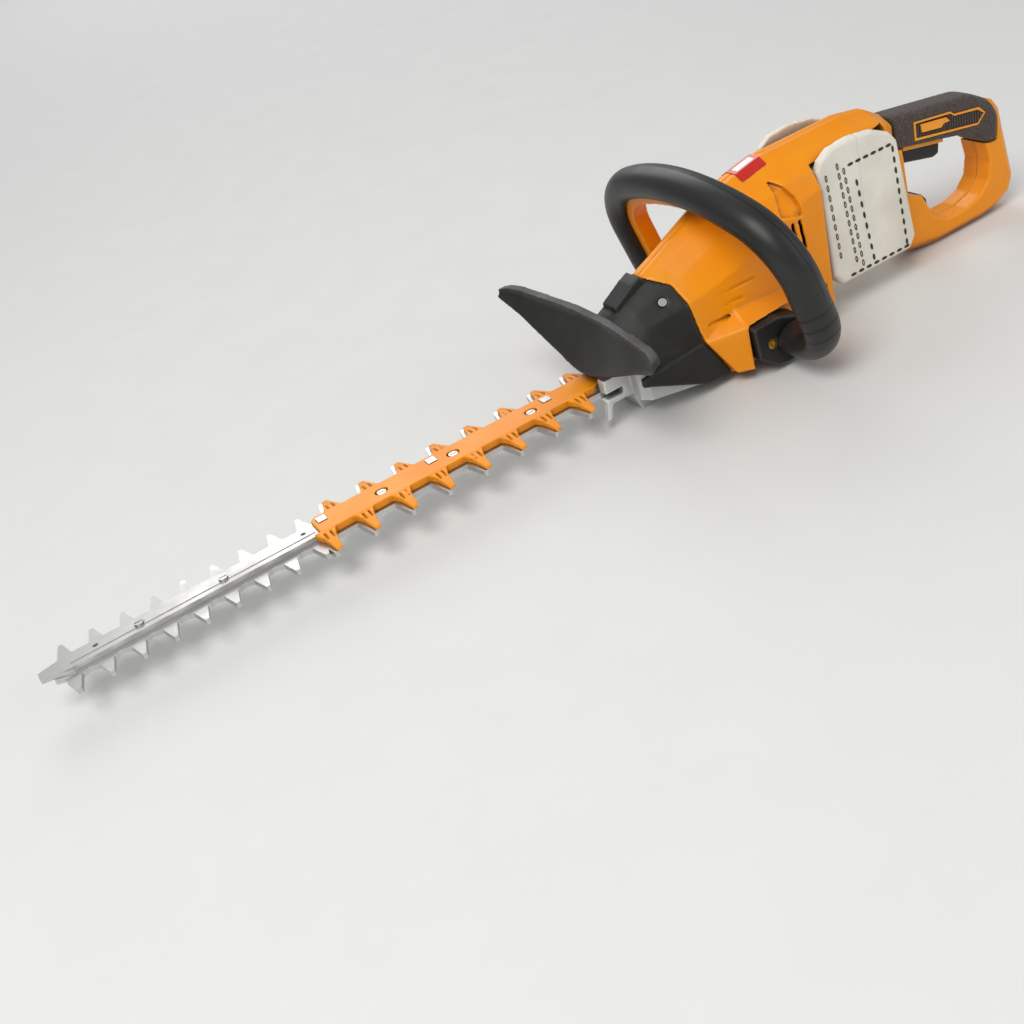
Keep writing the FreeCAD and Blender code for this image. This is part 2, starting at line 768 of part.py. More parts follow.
def screw_places():
    """Housing screws, driven from the right side along Y: (x, z, half depth)."""
    return ((-76, 62), (-118, 62), (-138, 126), (-371, 40), (-300, 11))


def screw_bores():
    bores = []
    for x, z in screw_places():
        bores.append(rod(x, -50, z, 1.6, 62, (0, 1, 0)))
        bores.append(rod(x, -60, z, 3.6, 60 - screw_head_y(x), (0, 1, 0)))
    return bores


def screw_head_y(x):
    """How far the screw head's seat stands from the middle plane."""
    return 9.0 if x < bay_rear else 29.0 if x < -130 else 36.0


def handle_bores():
    """Channel for the leads from the switch to the battery dock."""
    return [rod(-300, 0, 108, 3.0, 60, (1, 0, -0.02))]


def bosses():
    """Screw bosses inside the body."""
    solids = []
    for x, z in screw_places():
        if x > bay_front:
            solids.append(rod(x, -screw_head_y(x) - 1, z, 5.0, screw_head_y(x) + 13, (0, 1, 0)))
    return solids


def housing_screws():
    """Screws that join the housing halves, heads on the right side."""
    screws = []
    for x, z in screw_places():
        y = -screw_head_y(x)
        shank = rod(x, y, z, 1.5, 11 - y, (0, 1, 0))
        head = rod(x, y - 2.2, z, 3.2, 2.2, (0, 1, 0))
        slot = block(x - 2.2, x + 2.2, y - 2.3, y - 1.3, z - 0.4, z + 0.4)
        screws.append(fuse([shank, head]).cut(slot))
    return group(screws)


def halves(whole):
    left = whole.common(block(-500, 100, 0, 100, -50, 250))
    right = whole.common(block(-500, 100, -100, 0, -50, 250))
    return left, right


def case_room():
    """Space that the gear case and its cover take inside the mouldings."""
    return block(case_rear - seam, case_front + seam, -case_half - seam, case_half + seam,
                 body_bottom + shell, case_top + cover_t + seam)


def nose_cover():
    outer = skin(0.0).cut(border(-seam)).common(block(-60, 40.5, -60, 60, -10, 200))
    hem = side_prism([(60, 46), (34, 44), (-38, 12), (-60, 5), (-60, 200), (60, 200)], -80, 80)
    outer = outer.common(hem)
    inner = skin(shell).common(block(-80, 40.5 - shell, -60, 60, -10, 200))
    hood = side_prism([(30, 87), (12, 98), (-4, 105), (-4, 96), (30, 78)], -9, 9)
    skirt = side_prism([(40, 34), (40, 41), (22, 42), (-17, 45), (-26, 33), (-38, 14), (-38.5, 8), (-15,
                                                                                                    10),
                        (34, 32)], 40.2, 44.6)
    skirts = [skirt, mirror_y(skirt)]
    shell_part = fuse([outer.cut(inner), hood.cut(skin(shell)).cut(border(-seam))]
                      + [piece.cut(border(-seam)) for piece in skirts])
    arm_room = block(case_front - 1, 60, -arm_half - seam, arm_half + seam, 0, case_top + seam)
    bores = []
    for x, y, z in nose_screw_places():
        base, axis = V(x, y, z), nose_screw_axis(y)
        bores.append(Part.makeCylinder(1.8, 14, base - axis * 2, axis))
        bores.append(Part.makeCylinder(3.8, 10, base + axis * 7.8, axis))
    low_room = moved(case_room(), z=-12)
    return cut(shell_part, [case_room(), low_room, arm_room] + bores)


def nose_screw_places():
    return ((-4.0, 20.0, 74.5), (-4.0, -20.0, 74.5))


def nose_screw_axis(y):
    return V(0.25, math.copysign(0.55, y), 0.8).normalize()


def nose_screws():
    screws = []
    for x, y, z in nose_screw_places():
        base, axis = V(x, y, z), nose_screw_axis(y)
        shank = Part.makeCylinder(1.6, 8, base, axis)
        head = Part.makeCylinder(3.4, 2.0, base + axis * 8.0, axis)
        screws.append(fuse([shank, head]))
    return group(screws)


def hand_guard():
    """Curved shield across the nose, thin at its tips, with a rolled top edge."""
    stations = ((0, 67, 46, 49, 86), (26, 66, 51, 50, 86.5), (52, 66, 60, 53, 87), (80, 67, 72, 57, 88),
                (100, 69, 80, 62, 88.5), (108, 70, 84, 66, 87.5))
    t = 3.2
    sections = []
    for side in (-1, 1):
        order = reversed(stations) if side < 0 else stations[1:]
        for y, xb, zb, xt, zt in order:
            run, rise = xt - xb, zt - zb
            length = math.hypot(run, rise)
            nx, nz = -rise / length * t, run / length * t
            sections.append([V(xb, side * y, zb), V(xt, side * y, zt), V(xt + nx, side * y, zt + nz),
                             V(xb + nx, side * y, zb + nz)])
    plate = smooth_loft(sections)
    rim_sections = []
    for side in (-1, 1):
        order = reversed(stations) if side < 0 else stations[1:]
        for y, xb, zb, xt, zt in order:
            rim_sections.append([V(xt - 6, side * y, zt - 1.5), V(xt + 2, side * y, zt - 1.5),
                                 V(xt + 2, side * y, zt + 2.0), V(xt - 6, side * y, zt + 2.0)])
    rim = smooth_loft(rim_sections)
    base = block(40.8, 64, -27, 27, 46.6, 50)
    stem = side_prism([(40.8, 46.6), (60, 46.6), (50, 70), (40.8, 74)], -14, 14)
    whole = fuse([plate, rim, base, stem])
    bores = [rod(50, s * 21, 40, 1.7, 20) for s in (1, -1)]
    return cut(whole, bores)


def guard_screws():
    screws = []
    for side in (1, -1):
        shank = rod(50, side * 21, arm_top + 3.6, 1.6, 3.4)
        head = rod(50, side * 21, 50.0, 3.0, 1.8)
        screws.append(fuse([shank, head]))
    return group(screws)


# ================================================================ bail handle
def bail_path(part):
    """Centre line in a flat Y-Z plane, left foot to right; part picks the run."""
    foot_y = 64.0
    low_r = elbow_r
    shoulder_r = 55.0
    crown_r = 210.0
    across = bail_half - shoulder_r
    drop = math.sqrt((crown_r - shoulder_r) ** 2 - across ** 2)
    shoulder_z = bail_top - crown_r + drop
    angle = math.atan2(across, drop)
    half_turn = angle + (math.pi / 2 - angle) / 2
    start = V(0, bail_half - low_r, bail_foot_z)
    leg_foot = V(0, bail_half, bail_foot_z + low_r)
    leg_top = V(0, bail_half, shoulder_z)
    crown_start = V(0, crown_r * math.sin(angle), bail_top - crown_r + crown_r * math.cos(angle))
    low_mid = V(0, bail_half - low_r + low_r * math.sin(math.pi / 4),
                bail_foot_z + low_r * (1 - math.cos(math.pi / 4)))
    shoulder_mid = V(0, across + shoulder_r * math.sin(half_turn),
                     shoulder_z + shoulder_r * math.cos(half_turn))
    runs = [Part.LineSegment(V(0, foot_y, bail_foot_z), start), Part.Arc(start, low_mid, leg_foot),
            Part.LineSegment(leg_foot, leg_top), Part.Arc(leg_top, shoulder_mid, crown_start),
            Part.Arc(crown_start, V(0, 0, bail_top), V(0, -crown_start.y, crown_start.z))]
    other = [Part.Arc(V(0, -crown_start.y, crown_start.z), V(0, -shoulder_mid.y, shoulder_mid.z),
                      V(0, -leg_top.y, leg_top.z)),
             Part.LineSegment(V(0, -leg_top.y, leg_top.z), V(0, -leg_foot.y, leg_foot.z)),
             Part.Arc(V(0, -leg_foot.y, leg_foot.z), V(0, -low_mid.y, low_mid.z), V(0, -start.y, start.z)),
             Part.LineSegment(V(0, -start.y, start.z), V(0, -foot_y, bail_foot_z))]
    edges = [run.toShape() for run in runs + other]
    return edges[2:7] if part == "lever" else edges


def leaned(shape, x=0.0):
    placed = moved(shape, x=bail_foot_x + x)
    return turned(placed, bail_lean, (bail_foot_x, 0, bail_foot_z), (0, 1, 0))


def swept(profile, edges):
    return Part.Wire(edges).makePipeShell([profile], True, False)


def oval_profile(y, z, depth, thick):
    """Oval in the X-Z plane: depth along X, thick along Z."""
    ellipse = Part.Ellipse(V(0, y, z), depth / 2, thick / 2)
    ellipse.Axis = V(0, 1, 0)
    ellipse.XAxis = V(1, 0, 0)
    return Part.Wire([ellipse.toShape()])


def flat_profile(y, z, x0, x1, z0, z1):
    points = [V(x0, y, z + z0), V(x1, y, z + z0), V(x1, y, z + z1), V(x0, y, z + z1)]
    return Part.makePolygon(points + points[:1])


def bail_tube():
    edges = bail_path("whole")
    return swept(oval_profile(64.0, bail_foot_z, bail_depth, bail_thick), edges)


def lever_band(x0, x1, inner, outer):
    """Band along the tube's inner side; inner and outer are from the centre line."""
    edges = bail_path("lever")
    y, z = bail_half, bail_foot_z + elbow_r
    points = [V(x0, y - inner, z), V(x1, y - inner, z), V(x1, y - outer, z), V(x0, y - outer, z)]
    return swept(Part.makePolygon(points + points[:1]), edges)


def bail_lever_shape():
    edge_r = bail_thick / 2
    shift = -3.0
    return lever_band(shift - lever_w / 2, shift + lever_w / 2, edge_r + lever_out, edge_r - lever_in)


def bail_channel():
    edge_r = bail_thick / 2
    shift = -3.0
    reach = lever_in + lever_travel + free_gap
    return lever_band(shift - lever_w / 2 - free_gap, shift + lever_w / 2 + free_gap, edge_r + 20,
                      edge_r - reach)


def bail_handle():
    tube = leaned(bail_tube())
    channel = leaned(bail_channel())
    return tube.cut(channel)


def bail_lever():
    return leaned(bail_lever_shape())


def bail_foot(side):
    """Block that carries one end of the bail on the housing's side."""
    inner = 44.0 + 0.3
    outer = 64.0
    base = side_prism([(-52, 45), (-54, 18), (-70, 6), (-96, 4), (-104, 14), (-98, 38), (-76, 46)],
                      side * inner, side * outer)
    base = base.cut(leaned_space(side))
    x, z = bail_bolt_places()[0]
    bores = [rod(x, -70, z, 2.6, 140, (0, 1, 0)), rod(x, side * (outer - 3), z, 4.6, 6, (0, side, 0))]
    return cut(base, bores)


def leaned_space(side):
    """Clears the foot around the end of the tube."""
    return leaned(rod(0, side * 63.9, bail_foot_z, bail_depth / 2 + 1, 20, (0, side, 0)))


def bail_bolts():
    """Bolts through the feet into nuts inside the housing."""
    bolts = []
    x, z = bail_bolt_places()[0]
    for side in (1, -1):
        shank = rod(x, side * 42, z, 2.5, 19, (0, side, 0))
        head = rod(x, side * 61, z, 4.4, 3.0, (0, side, 0))
        socket = rod(x, side * 62.5, z, 2.0, 3.0, (0, side, 0))
        bolts.append(fuse([shank, head]).cut(socket))
    return group(bolts)


# ================================================================ rear handle
def grip_sleeve():
    """Soft overmould on the upper bar and the top rear corner."""
    outer = side_prism(grip_sleeve_outline(), -grip_half, grip_half)
    outer = rounded_edges(outer, 7.5, lambda e: e.BoundBox.YLength < 0.01 and e.BoundBox.ZMax > 103
                          and e.BoundBox.XLength > 10)
    well = trigger_well()
    well.translate(V(0, 0, -10))
    return cut(outer, [grip_core(seam), well, grip_panel_seat(), strip_outline(seam, 12.0 + seam)])


def grip_panel_outline(grow):
    g = grow
    return [(-271 + g, 117.3 + g), (-311, 111.2 + g), (-315, 107.7 + g), (-343 - g, 103 + g), (-350 - g,
                                                                                               96),
            (-341, 88.6 - g), (-271 + g, 101.8 - g)]


def grip_panel_seat():
    """Shallow seat for the side trims, both sides."""
    depth = 1.6
    left = side_prism(grip_panel_outline(0.1), grip_half - depth, grip_half + 5)
    return fuse([left, mirror_y(left)])


def grip_trim(side):
    """Orange outline and badge let into the grip's side."""
    y0, y1 = grip_half - 1.5, grip_half + 0.2
    frame = side_prism(grip_panel_outline(0.0), y0, y1).cut(side_prism(grip_panel_outline(-1.6), y0 - 1,
                                                                       y1 + 1))
    badge = side_prism([(-278, 113), (-306, 108.4), (-310, 104), (-303, 104.2), (-300, 102), (-279,
                                                                                              105.8)], y0,
                       y1)
    shapes = [frame, badge]
    if side < 0:
        shapes = [mirror_y(s) for s in shapes]
    return group(shapes)


def grip_pad(side):
    """Ribbed pad inside the trim."""
    y0, y1 = grip_half - 1.5, grip_half - 0.6
    pad = side_prism(grip_panel_outline(-1.8), y0, y1)
    badge = side_prism([(-277, 114), (-307, 109.2), (-311.5, 103.5), (-302.5, 103.7), (-299.5, 101.2),
                        (-278, 104.8)], y0 - 1, y1 + 3)
    ribs = []
    for i in range(25):
        x = -275 - 2.9 * i
        ribs.append(block(x - 0.8, x + 0.8, y1 - 0.1, y1 + 0.6, 80, 120).common(
            side_prism(grip_panel_outline(-2.6), y1 - 1, y1 + 2)))
    whole = fuse([pad] + ribs).cut(badge)
    return whole if side > 0 else mirror_y(whole)


def strip_outline(gap, half):
    outline = [(-262, 99.5), (-306, 90.2), (-306, 86.6), (-262, 95.8)]
    return offset_face(outline, -half, gap).extrude(V(0, 2 * half, 0)) if gap else side_prism(outline,
                                                                                              -half, half)


def grip_strip():
    """Orange strip under the grip, ahead of the finger space."""
    strip = strip_outline(0.0, 12.0)
    well = block(trigger_rear() - free_gap - 2, -200, -9.5, 9.5, 60, 130)
    return strip.cut(well)


def trigger():
    """Finger trigger that is pressed up into the grip."""
    front, rear = trigger_front(), trigger_rear()
    body = side_prism([(front, 108), (front, 87), (-265, 83.5), (-298, 75.5), (rear + 1, 77), (rear, 84),
                       (rear, 97), (-300, 100)], -8.6, 8.6)
    body = rounded_edges(body, 1.6, lambda e: e.BoundBox.YLength < 0.01 and e.BoundBox.ZMax < 88.0)
    return body.cut(rod(trigger_spring_x(), 0, 98, 3.6, 20))


def trigger_spring_x():
    return -272.0


def trigger_spring():
    """Return spring over the trigger, drawn as a plain coil."""
    z0, z1 = 98.0, trigger_ceiling()
    return coil(trigger_spring_x(), 0, z0, z1, 2.6, 0.35, 5)


def coil(x, y, z0, z1, radius, wire_r, turns):
    rings = []
    pitch = (z1 - z0 - 2 * wire_r) / turns
    helix = Part.makeHelix(pitch, pitch * turns, radius)
    helix.translate(V(x, y, z0 + wire_r))
    profile = Part.Wire([Part.Circle(V(x + radius, y, z0 + wire_r), V(0, 1, 0), wire_r).toShape()])
    rings.append(Part.Wire(helix.Edges).makePipeShell([profile], True, True))
    return rings[0]


def switch_box(gap):
    return block(-256.5 - gap, -240 + gap, -7 - gap, 7 + gap, 107 - gap, 119.5 + gap)


def switch_room():
    return switch_box(seam)


def trigger_switch():
    """Sealed switch block in the handle, ahead of the trigger spring."""
    return switch_box(0.0)


# ================================================================ battery
def battery_outline(grow):
    g = grow
    x0, x1 = bay_rear + battery_gap + 1, bay_front - battery_gap
    z0, z1 = battery_low, bay_roof - 3.0
    corner = 9.0
    foot = x0 - battery_rake
    return [(x1 - corner, z1 + g), (x0 + 7, z1 - 3 + g), (x0 - g, z1 - 12), (foot + 2 - g, z0 + 10),
            (foot + 9, z0 - g),
            (x1 - 14, z0 - g), (x1 - 4 + g, z0 + 12), (x1 + g, z1 - corner)]


def battery_cheeks():
    """Raised cheeks that stand outside the roof on both sides of the pack."""
    x0, x1 = bay_rear + battery_gap + 1, bay_front - battery_gap
    outline = [(x0, 112), (x1, 112), (x1, 126), (x1 - 4, 134), (x1 - 14, 140), (x1 - 34, cheek_top),
               (x1 - 58, 138.5), (x0 + 8, 130), (x0 + 1, 121)]
    left = side_prism(outline, cheek_inner, battery_half)
    left = rounded_edges(left, 3.0,
                         lambda e: e.BoundBox.YLength < 0.01 and e.BoundBox.YMin > battery_half - 0.1
                         and e.BoundBox.ZMax > 115 and e.BoundBox.ZMin > 111)
    return [left, mirror_y(left)]


def battery_case():
    outer = side_prism(battery_outline(0.0), -battery_half, battery_half)
    outer = rounded_edges(outer, 4.5,
                          lambda e: e.BoundBox.YLength < 0.01 and e.BoundBox.ZMin < bay_roof - 15)
    outer = fuse([outer] + battery_cheeks())
    inner = side_prism(battery_outline(-2.4), -battery_half + 2.4, battery_half - 2.4)
    slot_top = contact_high + battery_drop + 2.0
    contact_slots = [block(bay_front - 8, bay_front + 2, y - 1.2, y + 1.2, contact_low - 6, slot_top)
                     for y in contact_ys]
    return cut(outer, [inner] + contact_slots)


def battery_halves():
    whole = battery_case()
    middle = (bay_front + bay_rear) / 2
    front = whole.common(block(middle, bay_front + 20, -60, 60, 0, 200))
    rear = whole.common(block(bay_rear - 20, middle, -60, 60, 0, 200))
    return front, rear


def battery_cells():
    cells = []
    pitch = 18.4
    middle = (bay_front + bay_rear) / 2
    for column in (-1, 1):
        for row in range(5):
            cells.append(rod(middle + column * (pitch / 2 + 4), -32.5, battery_low + 12.4 + pitch * row,
                             9.0, 65,
                             (0, 1, 0)))
    return group(cells)


def battery_dock():
    """Black terminal block set in a window of the body's rear wall."""
    face = block(bay_front + 0.2, bay_front + shell + seam, -dock_half, dock_half, dock_low, dock_high)
    flange = block(bay_front + shell + seam, bay_front + shell + 4, -dock_half - 3, dock_half + 3,
                   dock_low - 3, dock_high + 3)
    ribs = [block(bay_front + shell + 4, bay_front + 11, s * 20 - 2, s * 20 + 2, dock_low, 88) for s in (1,
                                                                                                         -1)]
    return fuse([face, flange] + ribs)


def dock_window():
    return block(bay_front - 1, bay_front + shell + 1, -dock_half - seam, dock_half + seam,
                 dock_low - seam, dock_high + seam)


def dock_contacts():
    blades = [block(bay_front - 5.5, bay_front + 0.2, y - 0.5, y + 0.5, contact_low, contact_high)
              for y in contact_ys]
    return group(blades)


def battery_latch():
    """Release button in the pocket below the finger space."""
    x, z = latch_rear, latch_low
    body = side_prism([(x, z + 3), (x + 1, z + 19), (x + 6, z + 25), (x + 14, z + 26), (x + latch_length,
                                                                                        z + 24),
                       (x + latch_length, z + 3), (x + 14, z)], -8.8, 8.8)
    return rounded_edges(body, 2.0, lambda e: e.BoundBox.YLength < 0.01 and e.BoundBox.XMax < x + 15)


def latch_spring():
    """Coil against the wall of the button's pocket, at its pressed length."""
    gap = 0.2
    length = latch_wall - latch_rear - latch_length - latch_travel - 2 * gap
    spring = turned(coil(0, 0, 0, length, 3.6, 0.4, 4), 90, (0, 0, 0), (0, 1, 0))
    return moved(spring, x=latch_wall - gap - length, z=latch_low + 13)


# ================================================================ electronics and trim
def control_board():
    board = block(-139, -84, -26, 26, 96, 97.6)
    parts = [rod(-131, 12 * s, 97.6, 5.0, 14) for s in (1, -1)]
    parts += [block(-118 + 9 * i, -112 + 9 * i, -14, 14, 97.6, 102) for i in range(3)]
    return fuse([board] + parts)


def board_tray():
    tray = block(-142, -81, -29, 29, 92.0, 104)
    tray = tray.cut(block(-140, -83, -27, 27, 94, 105))
    posts = [block(x, x + 4, -3, 3, 94, 96) for x in (-138, -89)]
    return fuse([tray] + posts)


def top_label():
    """Blank two-tone plate bent over the housing's crown."""
    return label_band(0.0).common(skin(-0.4)).cut(skin(0.8))


def label_seat():
    return label_band(0.1).cut(skin(0.85))


def label_band(grow):
    return block(-124 - grow, -100 + grow, -13 - grow, 13 + grow, 110, 160)


def bail_switch():
    """Microswitch under the left foot's end of the lever."""
    return block(-92, -72, 26, 38, 52, 62)


def main():
    left, right = halves(housing_whole().cut(label_seat()))
    save(left, "housing_left")
    save(right, "housing_right")
    save(housing_screws(), "housing_screws")
    save(gear_case(), "gear_case")
    save(gear_cover(), "gear_cover")
    save(cover_screws(), "gear_cover_screws")
    save(guide_bar(), "guide_bar")
    save(blade_comb(), "blade_comb")
    save(comb_clips(), "comb_clips")
    save(blade_bolts(), "blade_bolts")
    save(blade_nuts(), "blade_nuts")
    save(blade(blade_z, 3.0), "lower_blade")
    save(blade(blade2_z, 3.0), "upper_blade")
    save(drive_gear(), "drive_gear")
    save(gear_bearing(), "gear_bearing")
    save(motor(), "motor")
    save(motor_shaft(), "motor_shaft")
    save(cooling_fan(), "cooling_fan")
    save(nose_cover(), "nose_cover")
    save(nose_screws(), "nose_screws")
    save(hand_guard(), "hand_guard")
    save(guard_screws(), "guard_screws")
    save(bail_handle(), "bail_handle")
    save(bail_lever(), "bail_lever")
    save(bail_foot(1), "bail_foot_left")
    save(bail_foot(-1), "bail_foot_right")
    save(bail_bolts(), "bail_bolts")
    save(grip_sleeve(), "rear_grip")
    for side, word in ((1, "left"), (-1, "right")):
        save(grip_trim(side), "grip_trim_" + word)
        save(grip_pad(side), "grip_pad_" + word)
    save(grip_strip(), "grip_strip")
    save(trigger(), "trigger")
    save(trigger_spring(), "trigger_spring")
    save(trigger_switch(), "trigger_switch")
    front, rear = battery_halves()
    save(front, "battery_case_front")
    save(rear, "battery_case_rear")
    save(battery_cells(), "battery_cells")
    save(battery_dock(), "battery_dock")
    save(dock_contacts(), "dock_contacts")
    save(battery_latch(), "battery_latch")
    save(latch_spring(), "latch_spring")
    save(control_board(), "control_board")
    save(board_tray(), "board_tray")
    save(top_label(), "top_label")
    save(bail_switch(), "bail_switch")


main()
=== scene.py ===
"""Looks of a cordless hedge trimmer, built as an add-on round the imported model."""

import json
import math

import bmesh
import bpy
from mathutils import Matrix, Vector

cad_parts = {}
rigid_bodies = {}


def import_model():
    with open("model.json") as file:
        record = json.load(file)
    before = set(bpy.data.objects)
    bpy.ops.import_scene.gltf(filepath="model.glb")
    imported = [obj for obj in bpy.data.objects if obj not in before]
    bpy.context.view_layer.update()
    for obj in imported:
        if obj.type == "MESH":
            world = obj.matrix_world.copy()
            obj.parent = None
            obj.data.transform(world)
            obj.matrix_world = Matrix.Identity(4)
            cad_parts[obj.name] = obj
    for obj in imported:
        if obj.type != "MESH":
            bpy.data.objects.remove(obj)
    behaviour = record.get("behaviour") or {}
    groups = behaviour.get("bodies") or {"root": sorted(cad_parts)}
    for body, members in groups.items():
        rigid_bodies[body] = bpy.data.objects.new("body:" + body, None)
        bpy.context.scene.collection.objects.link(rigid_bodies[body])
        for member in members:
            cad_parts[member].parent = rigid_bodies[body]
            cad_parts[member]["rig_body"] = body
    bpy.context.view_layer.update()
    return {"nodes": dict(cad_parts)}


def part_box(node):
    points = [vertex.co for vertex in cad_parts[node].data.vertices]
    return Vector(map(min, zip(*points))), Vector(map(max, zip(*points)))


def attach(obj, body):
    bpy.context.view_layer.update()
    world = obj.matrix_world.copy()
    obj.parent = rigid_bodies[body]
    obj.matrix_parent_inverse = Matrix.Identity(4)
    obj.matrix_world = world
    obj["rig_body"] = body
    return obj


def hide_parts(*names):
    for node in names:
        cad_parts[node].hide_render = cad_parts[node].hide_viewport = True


bl_info = {
    "name": "Cordless hedge trimmer",
    "version": (1, 0, 0),
    "blender": (4, 5, 0),
    "location": "View3D > Sidebar > Trimmer",
    "description": "Moulded shells, ground blades and rubber grips for a cordless hedge trimmer",
    "category": "Object",
}

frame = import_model()


def colour(name, description, default):
    """Return a colour property."""
    return bpy.props.FloatVectorProperty(
        name=name, description=description, default=default, subtype="COLOR", size=3, min=0.0, max=1.0
    )


def length(name, description, default):
    """Return a length property, in metres."""
    return bpy.props.FloatProperty(
        name=name,
        description=description,
        default=default,
        min=0.0,
        subtype="DISTANCE",
        unit="LENGTH",
        precision=5,
    )


class ShellSettings(bpy.types.PropertyGroup):
    """Colours and softness of the moulded plastic parts."""

    amber: colour("Amber", "Main colour of the housing", (0.98, 0.335, 0.003))
    amber_shade: colour("Amber shade", "Deeper tone of the housing", (0.93, 0.290, 0.002))
    charcoal: colour("Charcoal", "Colour of the nose, guard and bail", (0.021, 0.021, 0.020))
    charcoal_light: colour("Charcoal rub", "Rubbed tone on the charcoal edges", (0.060, 0.060, 0.056))
    ivory: colour("Ivory", "Colour of the battery case", (0.90, 0.86, 0.76))
    ivory_shade: colour("Ivory shade", "Worn tone of the battery case", (0.74, 0.69, 0.58))
    skin_step: length("Skin step", "Size of the mesh that rounds the moulded edges", 0.0011)
    grain_size: length("Grain size", "Size of the moulded texture", 0.0007)


class GripSettings(bpy.types.PropertyGroup):
    """Colours and speckle of the rubber grip."""

    rubber: colour("Rubber", "Colour of the soft grip", (0.052, 0.036, 0.028))
    rubber_fleck: colour("Fleck", "Colour of the flecks in the soft grip", (0.140, 0.100, 0.082))
    fleck_size: length("Fleck size", "Size of the flecks", 0.0016)


class MetalSettings(bpy.types.PropertyGroup):
    """Colours of the castings, blades and screws."""

    casting: colour("Casting", "Colour of the gear case", (0.72, 0.72, 0.70))
    blade: colour("Blade", "Colour of the blades and bar", (0.74, 0.73, 0.71))
    zinc: colour("Zinc", "Colour of plated screws and clips", (0.62, 0.62, 0.61))
    bronze: colour("Bronze", "Colour of bushes and contacts", (0.80, 0.50, 0.12))


class MarkSettings(bpy.types.PropertyGroup):
    """Colours and sizes of the label and battery marks."""

    label_red: colour("Label red", "Main colour of the top label", (0.68, 0.020, 0.012))
    label_white: colour("Label white", "Colour of the band on the top label", (0.86, 0.84, 0.80))
    mark_length: length("Mark length", "Length of a mark on the battery", 0.0058)
    mark_width: length("Mark width", "Width of a mark on the battery", 0.0024)
    mark_proud: length("Mark height", "Height of a mark above the battery", 0.0003)


class StageSettings(bpy.types.PropertyGroup):
    """Colour and size of the floor."""

    floor: colour("Floor", "Colour of the floor", (0.78, 0.78, 0.76))
    floor_side: length("Floor side", "Side of the square floor", 14.0)


class TrimmerSettings(bpy.types.PropertyGroup):
    """All sizes and colours of the trimmer."""

    shell: bpy.props.PointerProperty(type=ShellSettings)
    grip: bpy.props.PointerProperty(type=GripSettings)
    metal: bpy.props.PointerProperty(type=MetalSettings)
    marks: bpy.props.PointerProperty(type=MarkSettings)
    stage: bpy.props.PointerProperty(type=StageSettings)


def settings():
    """Return the scene's trimmer settings."""
    return bpy.context.scene.trimmer


# Shader building


def node(tree, kind, inputs=(), **values):
    """Add a shader node, set its values and fill its inputs with numbers or sockets."""
    made = tree.nodes.new("ShaderNode" + kind)
    for name, value in values.items():
        setattr(made, name, value)
    for socket, value in dict(inputs).items():
        if isinstance(value, bpy.types.NodeSocket):
            tree.links.new(value, made.inputs[socket])
        else:
            made.inputs[socket].default_value = value
    return made


def mixed(tree, amount, first, second, kind="MIX"):
    """Mix two colours and return the colour socket."""
    mix = node(tree, "Mix", {0: amount, 6: first, 7: second}, data_type="RGBA", blend_type=kind)
    return mix.outputs[2]


def maths(tree, operation, first, second=0.0, clamp=False):
    """Join two numbers with a maths node and return its socket."""
    made = node(tree, "Math", {0: first, 1: second}, operation=operation)
    made.use_clamp = clamp
    return made.outputs[0]


def ranged(tree, value, low, high, to_low=0.0, to_high=1.0):
    """Map a value from one range to another, held at both ends."""
    made = node(tree, "MapRange", {0: value, 1: low, 2: high, 3: to_low, 4: to_high})
    return made.outputs[0]


def rgba(values):
    """Return a colour with full alpha."""
    return (*values, 1.0)


def new_group(name, inputs, outputs):
    """Start a node group with named sockets and return it with its end nodes."""
    tree = bpy.data.node_groups.new(name, "ShaderNodeTree")
    for label, kind, default in inputs:
        socket = tree.interface.new_socket(name=label, in_out="INPUT", socket_type=kind)
        socket.default_value = default
    for label, kind in outputs:
        tree.interface.new_socket(name=label, in_out="OUTPUT", socket_type=kind)
    return tree, tree.nodes.new("NodeGroupInput"), tree.nodes.new("NodeGroupOutput")


def placed(tree, name, inputs=()):
    """Place a node group in a material and fill its inputs."""
    made = tree.nodes.new("ShaderNodeGroup")
    made.node_tree = bpy.data.node_groups[name]
    for socket, value in dict(inputs).items():
        made.inputs[socket].default_value = value
    return made.outputs


def make_grain_group():
    """Build the moulded texture: small pits and a slow change of tone."""
    tree, start, end = new_group(
        "Moulded Grain",
        [("Size", "NodeSocketFloat", 0.0007)],
        [("Height", "NodeSocketFloat"), ("Tone", "NodeSocketFloat")],
    )
    place = node(tree, "TexCoord").outputs["Object"]
    rate = maths(tree, "DIVIDE", 1.0, start.outputs["Size"])
    pits = node(tree, "TexNoise", {"Vector": place, "Scale": rate, "Detail": 2.0, "Roughness": 0.55})
    flow = node(tree, "TexNoise", {"Vector": place, "Scale": 16.0, "Detail": 3.0, "Roughness": 0.6})
    tree.links.new(pits.outputs[0], end.inputs["Height"])
    tree.links.new(ranged(tree, flow.outputs[0], 0.34, 0.66), end.inputs["Tone"])


